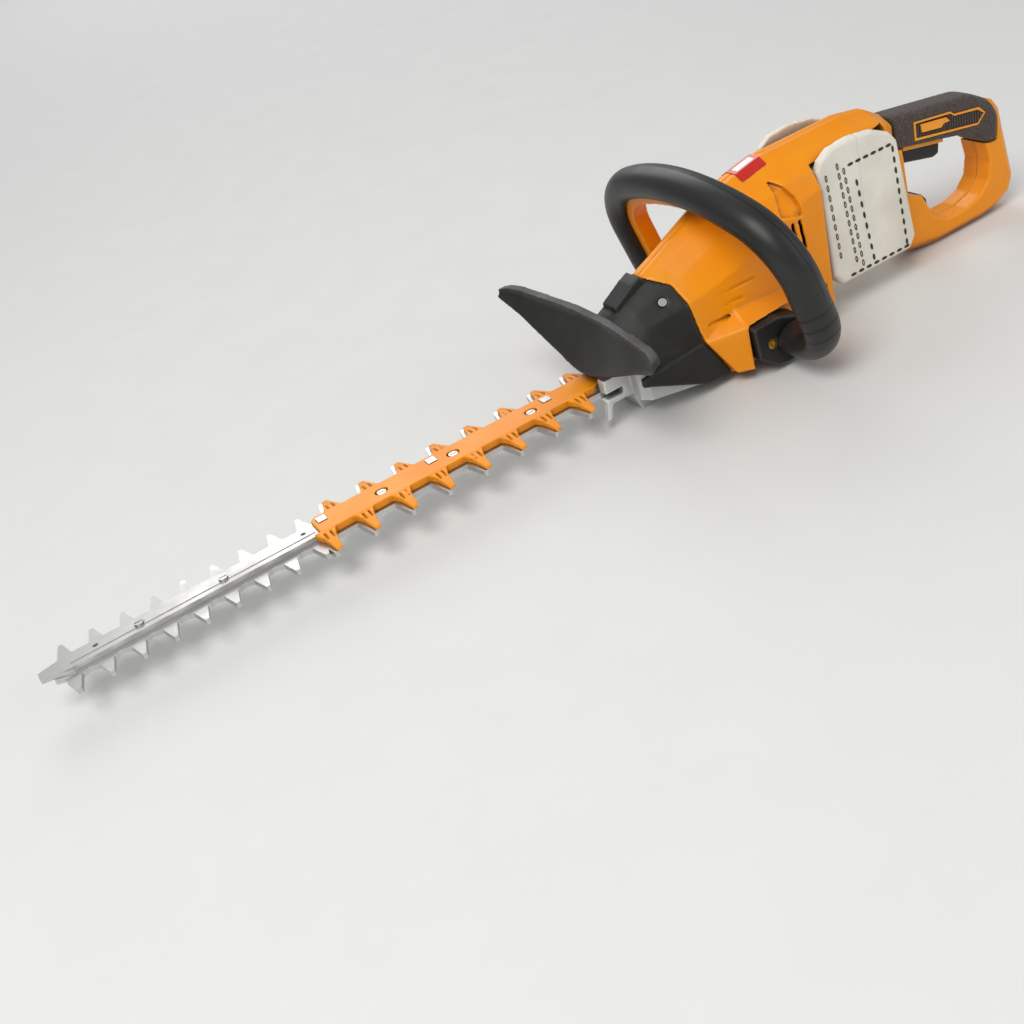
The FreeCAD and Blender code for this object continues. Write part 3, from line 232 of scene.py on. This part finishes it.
def make_wear_and_shade_group():
    """Build the edge wear, a broken mask along outer edges, and a painted shade mask for creases and
    recesses.
    """
    tree, start, end = new_group(
        "Edge Wear and Painted Shade",
        [("Reach", "NodeSocketFloat", 0.03), ("Break", "NodeSocketFloat", 260.0)],
        [("Mask", "NodeSocketFloat"), ("Painted Shade", "NodeSocketFloat")],
    )
    bend = node(tree, "NewGeometry").outputs["Pointiness"]
    place = node(tree, "TexCoord").outputs["Object"]
    high = maths(tree, "ADD", start.outputs["Reach"], 0.5)
    low = maths(tree, "SUBTRACT", 0.5, start.outputs["Reach"])
    edge = node(tree, "MapRange", {0: bend, 1: 0.505, 2: high}).outputs[0]
    # Painted shade: concave bends give a mask that darkens the colour in creases.
    painted_shade = node(tree, "MapRange", {0: bend, 1: 0.495, 2: low}).outputs[0]
    rate = start.outputs["Break"]
    spots = node(tree, "TexNoise", {"Vector": place, "Scale": rate, "Detail": 4.0, "Roughness": 0.65})
    gaps = ranged(tree, spots.outputs[0], 0.38, 0.62, 0.35, 1.0)
    broken = maths(tree, "MULTIPLY", edge, gaps, clamp=True)
    # Painted shade: ambient occlusion within 12 mm darkens the colour in recesses, slots and seams.
    open_air = node(tree, "AmbientOcclusion", {"Distance": 0.012}, samples=6).outputs["AO"]
    recess_shade = ranged(tree, open_air, 0.88, 0.30)
    tree.links.new(broken, end.inputs["Mask"])
    tree.links.new(maths(tree, "MAXIMUM", painted_shade, recess_shade), end.inputs["Painted Shade"])


def make_brushed_group():
    """Build the brushed grain: long streaks and faint scratches."""
    tree, start, end = new_group(
        "Brushed Metal",
        [("Stretch", "NodeSocketVector", (40.0, 2400.0, 2400.0))],
        [("Streak", "NodeSocketFloat"), ("Tone", "NodeSocketFloat")],
    )
    place = node(tree, "TexCoord").outputs["Object"]
    drawn = node(tree, "Mapping", {"Vector": place, "Scale": start.outputs["Stretch"]}).outputs[0]
    streak = node(tree, "TexNoise", {"Vector": drawn, "Scale": 1.0, "Detail": 4.0, "Roughness": 0.7})
    cloud = node(tree, "TexNoise", {"Vector": place, "Scale": 34.0, "Detail": 4.0, "Roughness": 0.6})
    tree.links.new(streak.outputs[0], end.inputs["Streak"])
    tree.links.new(ranged(tree, cloud.outputs[0], 0.35, 0.65), end.inputs["Tone"])


def make_seam_group():
    """Build the bail's lines: its long parting line and the grooves round its near elbows."""
    tree, start, end = new_group(
        "Bail Lines",
        [
            ("Foot", "NodeSocketVector", (-0.086, 0.0, 0.025)),
            ("Lean", "NodeSocketFloat", math.radians(16.0)),
        ],
        [("Mask", "NodeSocketFloat")],
    )
    place = node(tree, "TexCoord").outputs["Object"]
    moved = node(tree, "VectorMath", {0: place, 1: start.outputs["Foot"]}, operation="SUBTRACT").outputs[0]
    lean = start.outputs["Lean"]
    turn = {"Vector": moved, "Angle": lean}
    upright = node(tree, "VectorRotate", turn, rotation_type="Y_AXIS", invert=True)
    side = node(tree, "SeparateXYZ", {0: upright.outputs[0]}).outputs
    out = maths(tree, "ABSOLUTE", side["Y"])
    off_line = maths(tree, "ABSOLUTE", maths(tree, "ADD", side["X"], 0.0045))
    line = ranged(tree, off_line, 0.0004, 0.0008, 1.0, 0.0)
    high = ranged(tree, side["Z"], 0.055, 0.060)
    beat = maths(tree, "PINGPONG", side["Z"], 0.0055)
    ring = ranged(tree, beat, 0.0006, 0.0014, 1.0, 0.0)
    over_low = ranged(tree, side["Z"], 0.020, 0.021)
    under_high = ranged(tree, side["Z"], 0.050, 0.051, 1.0, 0.0)
    band = maths(tree, "MULTIPLY", over_low, under_high)
    elbow = maths(tree, "MULTIPLY", band, ranged(tree, out, 0.106, 0.110))
    parting = maths(tree, "MULTIPLY", line, high)
    joined = maths(tree, "MAXIMUM", parting, maths(tree, "MULTIPLY", ring, elbow))
    tree.links.new(joined, end.inputs["Mask"])


def bail_plastic():
    """Make the bail's charcoal plastic, with its parting line and elbow grooves cut in."""
    shell = settings().shell
    material, tree, shader = new_material("Bail plastic", Specular_IOR_Level=0.4)
    grain = placed(tree, "Moulded Grain", {"Size": shell.grain_size})
    edges = placed(tree, "Edge Wear and Painted Shade", {"Reach": 0.05})
    lines = placed(tree, "Bail Lines")["Mask"]
    body = mixed(tree, grain["Tone"], rgba(shell.charcoal), rgba([c * 0.72 for c in shell.charcoal]))
    rubbed = mixed(tree, maths(tree, "MULTIPLY", edges["Mask"], 0.9), body, rgba(shell.charcoal_light))
    # The lines are painted near black: painted shade in the elbow grooves and a dark seam along the parting
    # line.
    tint = mixed(tree, maths(tree, "MULTIPLY", lines, 0.75), rubbed, rgba((0.004, 0.004, 0.004)))
    gloss = ranged(tree, grain["Tone"], 0.0, 1.0, 0.34, 0.46)
    relief = maths(tree, "SUBTRACT", maths(tree, "MULTIPLY", grain["Height"], 0.10), lines)
    finish_surface(tree, shader, tint, gloss, relief, 0.0006)
    return material


def make_dust_group():
    """Build the settled dust: a faint patchy mask on faces that look up."""
    tree, start, end = new_group(
        "Settled Dust", [("Amount", "NodeSocketFloat", 0.12)], [("Mask", "NodeSocketFloat")]
    )
    up = node(tree, "SeparateXYZ", {0: node(tree, "NewGeometry").outputs["Normal"]}).outputs["Z"]
    place = node(tree, "TexCoord").outputs["Object"]
    patches = node(tree, "TexNoise", {"Vector": place, "Scale": 45.0, "Detail": 5.0, "Roughness": 0.7})
    level = ranged(tree, up, 0.3, 1.0)
    lying = maths(tree, "MULTIPLY", level, ranged(tree, patches.outputs[0], 0.42, 0.68))
    tree.links.new(maths(tree, "MULTIPLY", lying, start.outputs["Amount"], clamp=True), end.inputs["Mask"])


def new_material(name, **constants):
    """Start a material and set the shader's own constants."""
    material = bpy.data.materials.new(name)
    material.use_nodes = True
    shader = material.node_tree.nodes["Principled BSDF"]
    for socket, value in constants.items():
        shader.inputs[socket.replace("_", " ")].default_value = value
    return material, material.node_tree, shader


def finish_surface(tree, shader, tint, rough, height, depth):
    """Join colour, roughness and relief to the shader."""
    tree.links.new(tint, shader.inputs["Base Color"])
    tree.links.new(rough, shader.inputs["Roughness"])
    bump = node(tree, "Bump", {"Height": height, "Strength": 1.0, "Distance": depth})
    tree.links.new(bump.outputs[0], shader.inputs["Normal"])


def moulded_plastic(name, main, shade, rub, size, rough, depth, wear, dust):
    """Make a moulded plastic with fine grain, slow tone changes, rubbed edges, settled dust and painted
    shade in its creases and recesses.
    """
    material, tree, shader = new_material(name, Specular_IOR_Level=0.32)
    grain = placed(tree, "Moulded Grain", {"Size": size})
    edges = placed(tree, "Edge Wear and Painted Shade", {"Reach": 0.05})
    dirt = placed(tree, "Settled Dust", {"Amount": dust})
    body = mixed(tree, grain["Tone"], rgba(main), rgba(shade))
    # Painted shade: creases and recesses are mixed towards a dark copy of the shade colour.
    dark = mixed(tree, maths(tree, "MULTIPLY", edges["Painted Shade"], 0.8), body, rgba([c * 0.22 for c in shade]))
    rubbed = mixed(tree, maths(tree, "MULTIPLY", edges["Mask"], wear), dark, rgba(rub))
    tint = mixed(tree, dirt["Mask"], rubbed, rgba((0.52, 0.48, 0.40)))
    gloss = ranged(tree, grain["Tone"], 0.0, 1.0, rough[0], rough[1])
    polished = maths(tree, "MULTIPLY", edges["Mask"], 0.08)
    finish_surface(tree, shader, tint, maths(tree, "SUBTRACT", gloss, polished), grain["Height"], depth)
    return material


def brushed_metal(name, main, stretch, rough):
    """Make a metal with drawn streaks and cloudy tone."""
    material, tree, shader = new_material(name, Metallic=1.0)
    drawn = placed(tree, "Brushed Metal", {"Stretch": stretch})
    streaks = maths(tree, "MULTIPLY", drawn["Streak"], 0.6)
    tone = maths(tree, "ADD", streaks, maths(tree, "MULTIPLY", drawn["Tone"], 0.4))
    tint = mixed(tree, tone, rgba([c * 0.72 for c in main]), rgba(main))
    gloss = ranged(tree, tone, 0.2, 0.8, rough[1], rough[0])
    finish_surface(tree, shader, tint, gloss, drawn["Streak"], 0.00002)
    return material


def cast_alloy():
    """Make the blasted light casting."""
    material, tree, shader = new_material("Blasted casting", Metallic=0.55)
    grain = placed(tree, "Moulded Grain", {"Size": 0.0009})
    edges = placed(tree, "Edge Wear and Painted Shade", {"Reach": 0.05})
    main = settings().metal.casting
    body = mixed(tree, grain["Tone"], rgba(main), rgba([c * 0.84 for c in main]))
    # Painted shade: creases and recesses of the casting are mixed towards a dark copy of its colour.
    dark = mixed(tree, maths(tree, "MULTIPLY", edges["Painted Shade"], 0.6), body, rgba([c * 0.3 for c in main]))
    tint = mixed(tree, edges["Mask"], dark, rgba((0.92, 0.92, 0.91)))
    gloss = ranged(tree, grain["Height"], 0.3, 0.7, 0.42, 0.58)
    finish_surface(tree, shader, tint, gloss, grain["Height"], 0.00012)
    return material


def grip_rubber():
    """Make the flecked soft grip."""
    grip = settings().grip
    material, tree, shader = new_material("Flecked grip rubber", Sheen_Weight=0.12, Sheen_Roughness=0.5)
    place = node(tree, "TexCoord").outputs["Object"]
    flecks = node(tree, "TexVoronoi", {"Vector": place, "Scale": 1.0 / grip.fleck_size, "Randomness": 0.6})
    domes = ranged(tree, flecks.outputs["Distance"], 0.18, 0.42, 1.0, 0.0)
    edges = placed(tree, "Edge Wear and Painted Shade", {"Reach": 0.06})
    body = mixed(tree, maths(tree, "MULTIPLY", domes, 0.75), rgba(grip.rubber), rgba(grip.rubber_fleck))
    # Painted shade: creases and recesses of the grip are mixed towards a dark copy of the rubber.
    painted_shade = maths(tree, "MULTIPLY", edges["Painted Shade"], 0.8)
    tint = mixed(tree, painted_shade, body, rgba([c * 0.3 for c in grip.rubber]))
    gloss = ranged(tree, domes, 0.0, 1.0, 0.78, 0.52)
    finish_surface(tree, shader, tint, gloss, domes, 0.00018)
    return material


def label_print():
    """Make the label: a red plate with a plain white band."""
    marks = settings().marks
    material, tree, shader = new_material("Printed plate", Coat_Weight=0.35, Coat_Roughness=0.12)
    low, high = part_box("top_label")
    middle = (low + high) / 2
    side = node(tree, "SeparateXYZ", {0: node(tree, "TexCoord").outputs["Object"]})
    across = maths(tree, "ABSOLUTE", maths(tree, "SUBTRACT", side.outputs["X"], middle.x))
    along = maths(tree, "ABSOLUTE", maths(tree, "SUBTRACT", side.outputs["Y"], middle.y))
    inside = maths(tree, "LESS_THAN", across, (high.x - low.x) * 0.36)
    band = maths(tree, "MULTIPLY", inside, maths(tree, "LESS_THAN", along, (high.y - low.y) * 0.13))
    grain = placed(tree, "Moulded Grain", {"Size": 0.0006})
    red = mixed(tree, grain["Tone"], rgba(marks.label_red), rgba([c * 0.8 for c in marks.label_red]))
    tint = mixed(tree, band, red, rgba(marks.label_white))
    gloss = ranged(tree, grain["Tone"], 0.0, 1.0, 0.25, 0.36)
    finish_surface(tree, shader, tint, gloss, grain["Height"], 0.00002)
    return material


def circuit_coating():
    """Make the coated board with faint tracks."""
    material, tree, shader = new_material("Coated board", Coat_Weight=0.5)
    place = node(tree, "TexCoord").outputs["Object"]
    bricks = node(tree, "TexBrick", {"Vector": place, "Scale": 160.0, "Mortar Size": 0.05})
    tracks = bricks.outputs["Fac"]
    tint = mixed(tree, tracks, rgba((0.012, 0.085, 0.030)), rgba((0.05, 0.20, 0.07)))
    finish_surface(tree, shader, tint, ranged(tree, tracks, 0.0, 1.0, 0.3, 0.42), tracks, 0.00005)
    return material


def make_finishes():
    """Build every group and material and return the materials by plain name."""
    make_grain_group()
    make_wear_and_shade_group()
    make_brushed_group()
    make_dust_group()
    make_seam_group()
    shell, metal = settings().shell, settings().metal
    size = shell.grain_size
    tall_streaks, even_grain = (2400.0, 2400.0, 60.0), (900.0, 900.0, 900.0)
    charcoal_shade = [c * 0.72 for c in shell.charcoal]
    black, black_shade, black_rub = (0.012, 0.012, 0.012), (0.008, 0.008, 0.008), (0.06, 0.06, 0.06)
    green, green_shade, green_rub = (0.03, 0.16, 0.10), (0.02, 0.11, 0.07), (0.12, 0.30, 0.22)
    amber_rub, ivory_rub = (1.0, 0.46, 0.06), (0.97, 0.95, 0.90)
    return {
        "amber": moulded_plastic(
            "Amber shell", shell.amber, shell.amber_shade, amber_rub, size,
            rough=(0.30, 0.40), depth=0.00002, wear=0.45, dust=0.03,
        ),
        "charcoal": moulded_plastic(
            "Charcoal plastic", shell.charcoal, charcoal_shade, shell.charcoal_light, size,
            rough=(0.40, 0.52), depth=0.00008, wear=0.9, dust=0.05,
        ),
        "black": moulded_plastic(
            "Black plastic", black, black_shade, black_rub, size,
            rough=(0.36, 0.48), depth=0.00005, wear=0.6, dust=0.04,
        ),
        "ivory": moulded_plastic(
            "Ivory case", shell.ivory, shell.ivory_shade, ivory_rub, size,
            rough=(0.36, 0.48), depth=0.00003, wear=0.4, dust=0.03,
        ),
        "cell": moulded_plastic(
            "Cell wrap", green, green_shade, green_rub, size,
            rough=(0.22, 0.32), depth=0.00001, wear=0.5, dust=0.0,
        ),
        "bail": bail_plastic(),
        "rubber": grip_rubber(),
        "casting": cast_alloy(),
        "blade": brushed_metal("Ground blade steel", metal.blade, (60.0, 2600.0, 2600.0), (0.30, 0.50)),
        "zinc": brushed_metal("Plated screws", metal.zinc, even_grain, (0.24, 0.40)),
        "bronze": brushed_metal("Bronze bushes", metal.bronze, even_grain, (0.24, 0.40)),
        "can": brushed_metal("Plated motor can", (0.20, 0.20, 0.21), tall_streaks, (0.30, 0.48)),
        "label": label_print(),
        "board": circuit_coating(),
    }


FINISHES = {}


# Pieces


def dressed(material, *names):
    """Give CAD nodes a finish."""
    for name in names:
        slots = frame["nodes"][name].data.materials
        slots.clear()
        slots.append(FINISHES[material])


def evaluated_mesh(piece):
    """Return the piece's mesh with its modifiers worked in."""
    bpy.context.view_layer.update()
    graph = bpy.context.evaluated_depsgraph_get()
    return bpy.data.meshes.new_from_object(piece.evaluated_get(graph))


def add_piece(name, mesh, material, body):
    """Link a mesh as a piece that rides on a body."""
    piece = bpy.data.objects.new(name, mesh)
    bpy.context.scene.collection.objects.link(piece)
    mesh.materials.clear()
    mesh.materials.append(FINISHES[material])
    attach(piece, body)
    return piece


MOST_TRIANGLES = 150000


def moulded_skin(node_name, name, material, step, passes=3):
    """Replace a CAD node by a copy of it with its edges rounded as a mould leaves them."""
    source = frame["nodes"][node_name]
    mesh = source.data.copy()
    form = bmesh.new()
    form.from_mesh(mesh)
    bmesh.ops.remove_doubles(form, verts=form.verts, dist=1e-6)
    form.to_mesh(mesh)
    form.free()
    body = source["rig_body"]
    piece = bpy.data.objects.new(name, mesh)
    bpy.context.scene.collection.objects.link(piece)
    skin = piece.modifiers.new("Skin", "REMESH")
    skin.mode = "VOXEL"
    skin.voxel_size = step
    skin.adaptivity = 0.0
    soft = piece.modifiers.new("Soften", "SMOOTH")
    soft.factor = 0.5
    soft.iterations = passes
    dense = evaluated_mesh(piece)
    piece.modifiers.clear()
    piece.data = dense
    faces = sum(len(p.vertices) - 2 for p in dense.polygons)
    if faces > MOST_TRIANGLES:
        thin = piece.modifiers.new("Thin", "DECIMATE")
        thin.ratio = MOST_TRIANGLES / faces
        piece.data = evaluated_mesh(piece)
        piece.modifiers.clear()
    if not piece.data.polygons:
        raise RuntimeError(f"{node_name} has no skin left at a step of {step}")
    for face in piece.data.polygons:
        face.use_smooth = True
    piece.data.materials.clear()
    piece.data.materials.append(FINISHES[material])
    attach(piece, body)
    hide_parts(node_name)
    return piece


class TRIMMER_OT_housing(bpy.types.Operator):
    """Mould the two halves of the amber housing"""

    bl_idname = "trimmer.housing"
    bl_label = "Housing"

    def execute(self, context):
        step = settings().shell.skin_step
        for side in ("left", "right"):
            moulded_skin(f"housing_{side}", f"shell_{side}", "amber", step, passes=5)
        dressed("zinc", "housing_screws")
        dressed("label", "top_label")
        return {"FINISHED"}


class TRIMMER_OT_nose(bpy.types.Operator):
    """Mould the charcoal nose cover and the hand guard"""

    bl_idname = "trimmer.nose"
    bl_label = "Nose and guard"

    def execute(self, context):
        step = settings().shell.skin_step
        moulded_skin("nose_cover", "nose_shell", "charcoal", step)
        moulded_skin("hand_guard", "guard_shell", "charcoal", step)
        dressed("zinc", "nose_screws", "guard_screws")
        return {"FINISHED"}


class TRIMMER_OT_bail(bpy.types.Operator):
    """Mould the front bail, its feet and its hand lever"""

    bl_idname = "trimmer.bail"
    bl_label = "Bail handle"

    def execute(self, context):
        step = settings().shell.skin_step
        moulded_skin("bail_handle", "bail_shell", "bail", step, passes=5)
        for side in ("left", "right"):
            moulded_skin(f"bail_foot_{side}", f"foot_{side}", "charcoal", step)
        moulded_skin("bail_lever", "lever_band", "amber", step)
        dressed("bronze", "bail_bolts")
        dressed("black", "bail_switch")
        return {"FINISHED"}


class TRIMMER_OT_grip(bpy.types.Operator):
    """Mould the rear grip, its pads and the trigger"""

    bl_idname = "trimmer.grip"
    bl_label = "Rear grip"

    def execute(self, context):
        moulded_skin("rear_grip", "grip_sleeve", "rubber", 0.0012, passes=70)
        moulded_skin("trigger", "trigger_lever", "charcoal", 0.0008)
        dressed("rubber", "grip_pad_left", "grip_pad_right")
        dressed("amber", "grip_strip", "grip_trim_left", "grip_trim_right")
        dressed("zinc", "trigger_spring")
        dressed("black", "trigger_switch")
        return {"FINISHED"}


# Rows of marks: first and last place in side view, how many, and whether they are rings
MARK_ROWS = (
    ((-0.1585, 0.119), (-0.1640, 0.052), 9, True),
    ((-0.1705, 0.124), (-0.1795, 0.042), 11, True),
    ((-0.1765, 0.118), (-0.1860, 0.036), 11, True),
    ((-0.1880, 0.104), (-0.1975, 0.036), 8, False),
    ((-0.2270, 0.116), (-0.2335, 0.034), 10, False),
    ((-0.1835, 0.121), (-0.2230, 0.1205), 6, False),
    ((-0.1750, 0.0305), (-0.2330, 0.0300), 8, False),
)
MARK_SUNK = 0.0001
RING_SHARE = 0.26


def mark_row(form, start, end, count, side, ring):
    """Add a row of flat oval marks on the pack's side, from start to end in side view."""
    marks = settings().marks
    low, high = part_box("battery_case_front")
    face = high.y if side > 0 else low.y
    run = Vector((end[0] - start[0], 0.0, end[1] - start[1]))
    lean = Vector((0.0, 0.0, 1.0)).rotation_difference(run.normalized()).to_matrix().to_4x4()
    for index in range(count):
        middle = Vector((start[0], 0.0, start[1])) + run * (index / max(count - 1, 1))
        middle.y = face - side * MARK_SUNK
        size = Matrix.Diagonal((marks.mark_width / 2, 1.0, marks.mark_length / 2, 1.0))
        flat = Matrix.Rotation(math.radians(90.0), 4, "X")
        place = Matrix.Translation(middle) @ lean @ size @ flat
        made = bmesh.ops.create_circle(form, cap_ends=True, segments=12, radius=1.0, matrix=place)
        faces = list({f for v in made["verts"] for f in v.link_faces})
        if ring:
            rim = marks.mark_width * RING_SHARE
            inner = bmesh.ops.inset_region(form, faces=faces, thickness=rim, use_boundary=True)
            bmesh.ops.delete(form, geom=faces, context="FACES")
            faces = inner["faces"]
        grown = bmesh.ops.extrude_face_region(form, geom=faces)
        tops = [g for g in grown["geom"] if isinstance(g, bmesh.types.BMVert)]
        bmesh.ops.translate(form, verts=tops, vec=(0.0, side * (marks.mark_proud + MARK_SUNK), 0.0))


def battery_marks():
    """Build the rows of dark marks on both sides of the pack, clear of its edges."""
    form = bmesh.new()
    for side in (1, -1):
        for start, end, count, ring in MARK_ROWS:
            mark_row(form, start, end, count, side, ring)
    bmesh.ops.recalc_face_normals(form, faces=form.faces)
    mesh = bpy.data.meshes.new("pack_marks")
    form.to_mesh(mesh)
    form.free()
    return add_piece("pack_marks", mesh, "black", "battery")


class TRIMMER_OT_battery(bpy.types.Operator):
    """Mould the battery pack, its marks and its latch"""

    bl_idname = "trimmer.battery"
    bl_label = "Battery"

    def execute(self, context):
        moulded_skin("battery_case_front", "pack_front", "ivory", 0.001)
        moulded_skin("battery_case_rear", "pack_rear", "ivory", 0.001)
        moulded_skin("battery_latch", "latch_button", "black", 0.0008)
        battery_marks()
        dressed("cell", "battery_cells")
        dressed("black", "battery_dock", "board_tray")
        dressed("bronze", "dock_contacts")
        dressed("board", "control_board")
        dressed("zinc", "latch_spring")
        return {"FINISHED"}


class TRIMMER_OT_blades(bpy.types.Operator):
    """Grind the blades and bar and mould the tooth guard"""

    bl_idname = "trimmer.blades"
    bl_label = "Blades"

    def execute(self, context):
        moulded_skin("blade_comb", "tooth_guard", "amber", 0.0006, passes=2)
        dressed("blade", "upper_blade", "lower_blade", "guide_bar")
        dressed("zinc", "blade_bolts", "blade_nuts", "comb_clips")
        return {"FINISHED"}


class TRIMMER_OT_drive(bpy.types.Operator):
    """Cast the gear case and finish the gears, motor and fan"""

    bl_idname = "trimmer.drive"
    bl_label = "Gear case and drive"

    def execute(self, context):
        moulded_skin("gear_case", "gear_casting", "casting", 0.0009)
        dressed("zinc", "gear_cover", "gear_cover_screws", "drive_gear", "motor_shaft")
        dressed("bronze", "gear_bearing")
        dressed("can", "motor")
        dressed("black", "cooling_fan")
        return {"FINISHED"}


# Each lamp: name, place, side, power and tint
LAMPS = (
    ("key", (1.30, 0.95, 2.35), 1.5, 50.0, (1.0, 0.98, 0.95)),
    ("fill", (-2.50, 2.30, 1.60), 2.6, 18.0, (0.95, 0.98, 1.0)),
    ("rim", (-1.20, -3.90, 2.85), 3.2, 75.0, (1.0, 1.0, 1.0)),
)
CAMERA_PLACE = (0.45183, 0.77288, 0.50396)
CAMERA_AXES = (
    (-0.83224726, 0.49440705, -0.25085089),
    (-0.46628787, -0.37946065, 0.79911529),
    (0.29990019, 0.78203023, 0.5463411),
)
LAMP_TARGET = Vector((0.0, 0.0, 0.06))


class TRIMMER_OT_stage(bpy.types.Operator):
    """Lay the floor, hang the lights and set up the camera"""

    bl_idname = "trimmer.stage"
    bl_label = "Floor, lights and camera"

    def execute(self, context):
        stage = settings().stage
        form = bmesh.new()
        bmesh.ops.create_grid(form, x_segments=2, y_segments=2, size=stage.floor_side / 2)
        mesh = bpy.data.meshes.new("Floor")
        form.to_mesh(mesh)
        form.free()
        floor = bpy.data.objects.new("floor", mesh)
        context.scene.collection.objects.link(floor)
        material, tree, shader = new_material("Pale floor", Specular_IOR_Level=0.25)
        grain = placed(tree, "Moulded Grain", {"Size": 0.004})
        tint = mixed(tree, grain["Tone"], rgba(stage.floor), rgba([c * 0.985 for c in stage.floor]))
        gloss = ranged(tree, grain["Tone"], 0.0, 1.0, 0.62, 0.70)
        finish_surface(tree, shader, tint, gloss, grain["Height"], 0.00002)
        mesh.materials.append(material)

        world = bpy.data.worlds.new("Studio")
        world.use_nodes = True
        sky = world.node_tree.nodes["Background"]
        sky.inputs["Color"].default_value = (0.93, 0.96, 1.0, 1.0)
        sky.inputs["Strength"].default_value = 0.34
        context.scene.world = world
        context.scene.view_settings.view_transform = "Standard"

        for lamp in LAMPS:
            add_light(*lamp)

        camera = bpy.data.cameras.new("camera")
        camera.lens = 44.306
        camera.sensor_width = 36.0
        camera.clip_start = 0.02
        camera.clip_end = 60.0
        eye = bpy.data.objects.new("camera", camera)
        turn = Matrix(CAMERA_AXES).transposed().to_4x4()
        eye.matrix_world = Matrix.Translation(CAMERA_PLACE) @ turn
        context.scene.collection.objects.link(eye)
        context.scene.camera = eye
        return {"FINISHED"}


def add_light(name, place, side, power, tint):
    """Hang a soft square light that faces the middle of the trimmer."""
    lamp = bpy.data.lights.new(name, "AREA")
    lamp.shape = "SQUARE"
    lamp.size = side
    lamp.energy = power
    lamp.color = tint
    holder = bpy.data.objects.new(name, lamp)
    holder.location = place
    aim = LAMP_TARGET - Vector(place)
    holder.rotation_euler = aim.to_track_quat("-Z", "Y").to_euler()
    bpy.context.scene.collection.objects.link(holder)


class TRIMMER_PT_panel(bpy.types.Panel):
    """Lists the trimmer's pieces."""

    bl_idname = "TRIMMER_PT_panel"
    bl_label = "Hedge trimmer"
    bl_space_type = "VIEW_3D"
    bl_region_type = "UI"
    bl_category = "Trimmer"

    def draw(self, context):
        for part in STEPS:
            self.layout.operator(part.bl_idname)


SETTING_CLASSES = (ShellSettings, GripSettings, MetalSettings, MarkSettings, StageSettings, TrimmerSettings)
STEPS = (
    TRIMMER_OT_housing,
    TRIMMER_OT_nose,
    TRIMMER_OT_bail,
    TRIMMER_OT_grip,
    TRIMMER_OT_battery,
    TRIMMER_OT_blades,
    TRIMMER_OT_drive,
    TRIMMER_OT_stage,
)


def register():
    """Register every class and the scene's settings."""
    for item in (*SETTING_CLASSES, *STEPS, TRIMMER_PT_panel):
        bpy.utils.register_class(item)
    bpy.types.Scene.trimmer = bpy.props.PointerProperty(type=TrimmerSettings)


def unregister():
    """Take every class and the settings away again."""
    del bpy.types.Scene.trimmer
    for item in reversed((*SETTING_CLASSES, *STEPS, TRIMMER_PT_panel)):
        bpy.utils.unregister_class(item)


def main():
    """Build every piece in order."""
    register()
    FINISHES.update(make_finishes())
    bpy.ops.trimmer.housing()
    bpy.ops.trimmer.nose()
    bpy.ops.trimmer.bail()
    bpy.ops.trimmer.grip()
    bpy.ops.trimmer.battery()
    bpy.ops.trimmer.blades()
    bpy.ops.trimmer.drive()
    bpy.ops.trimmer.stage()
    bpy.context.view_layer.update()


if __name__ == "__main__":
    main()
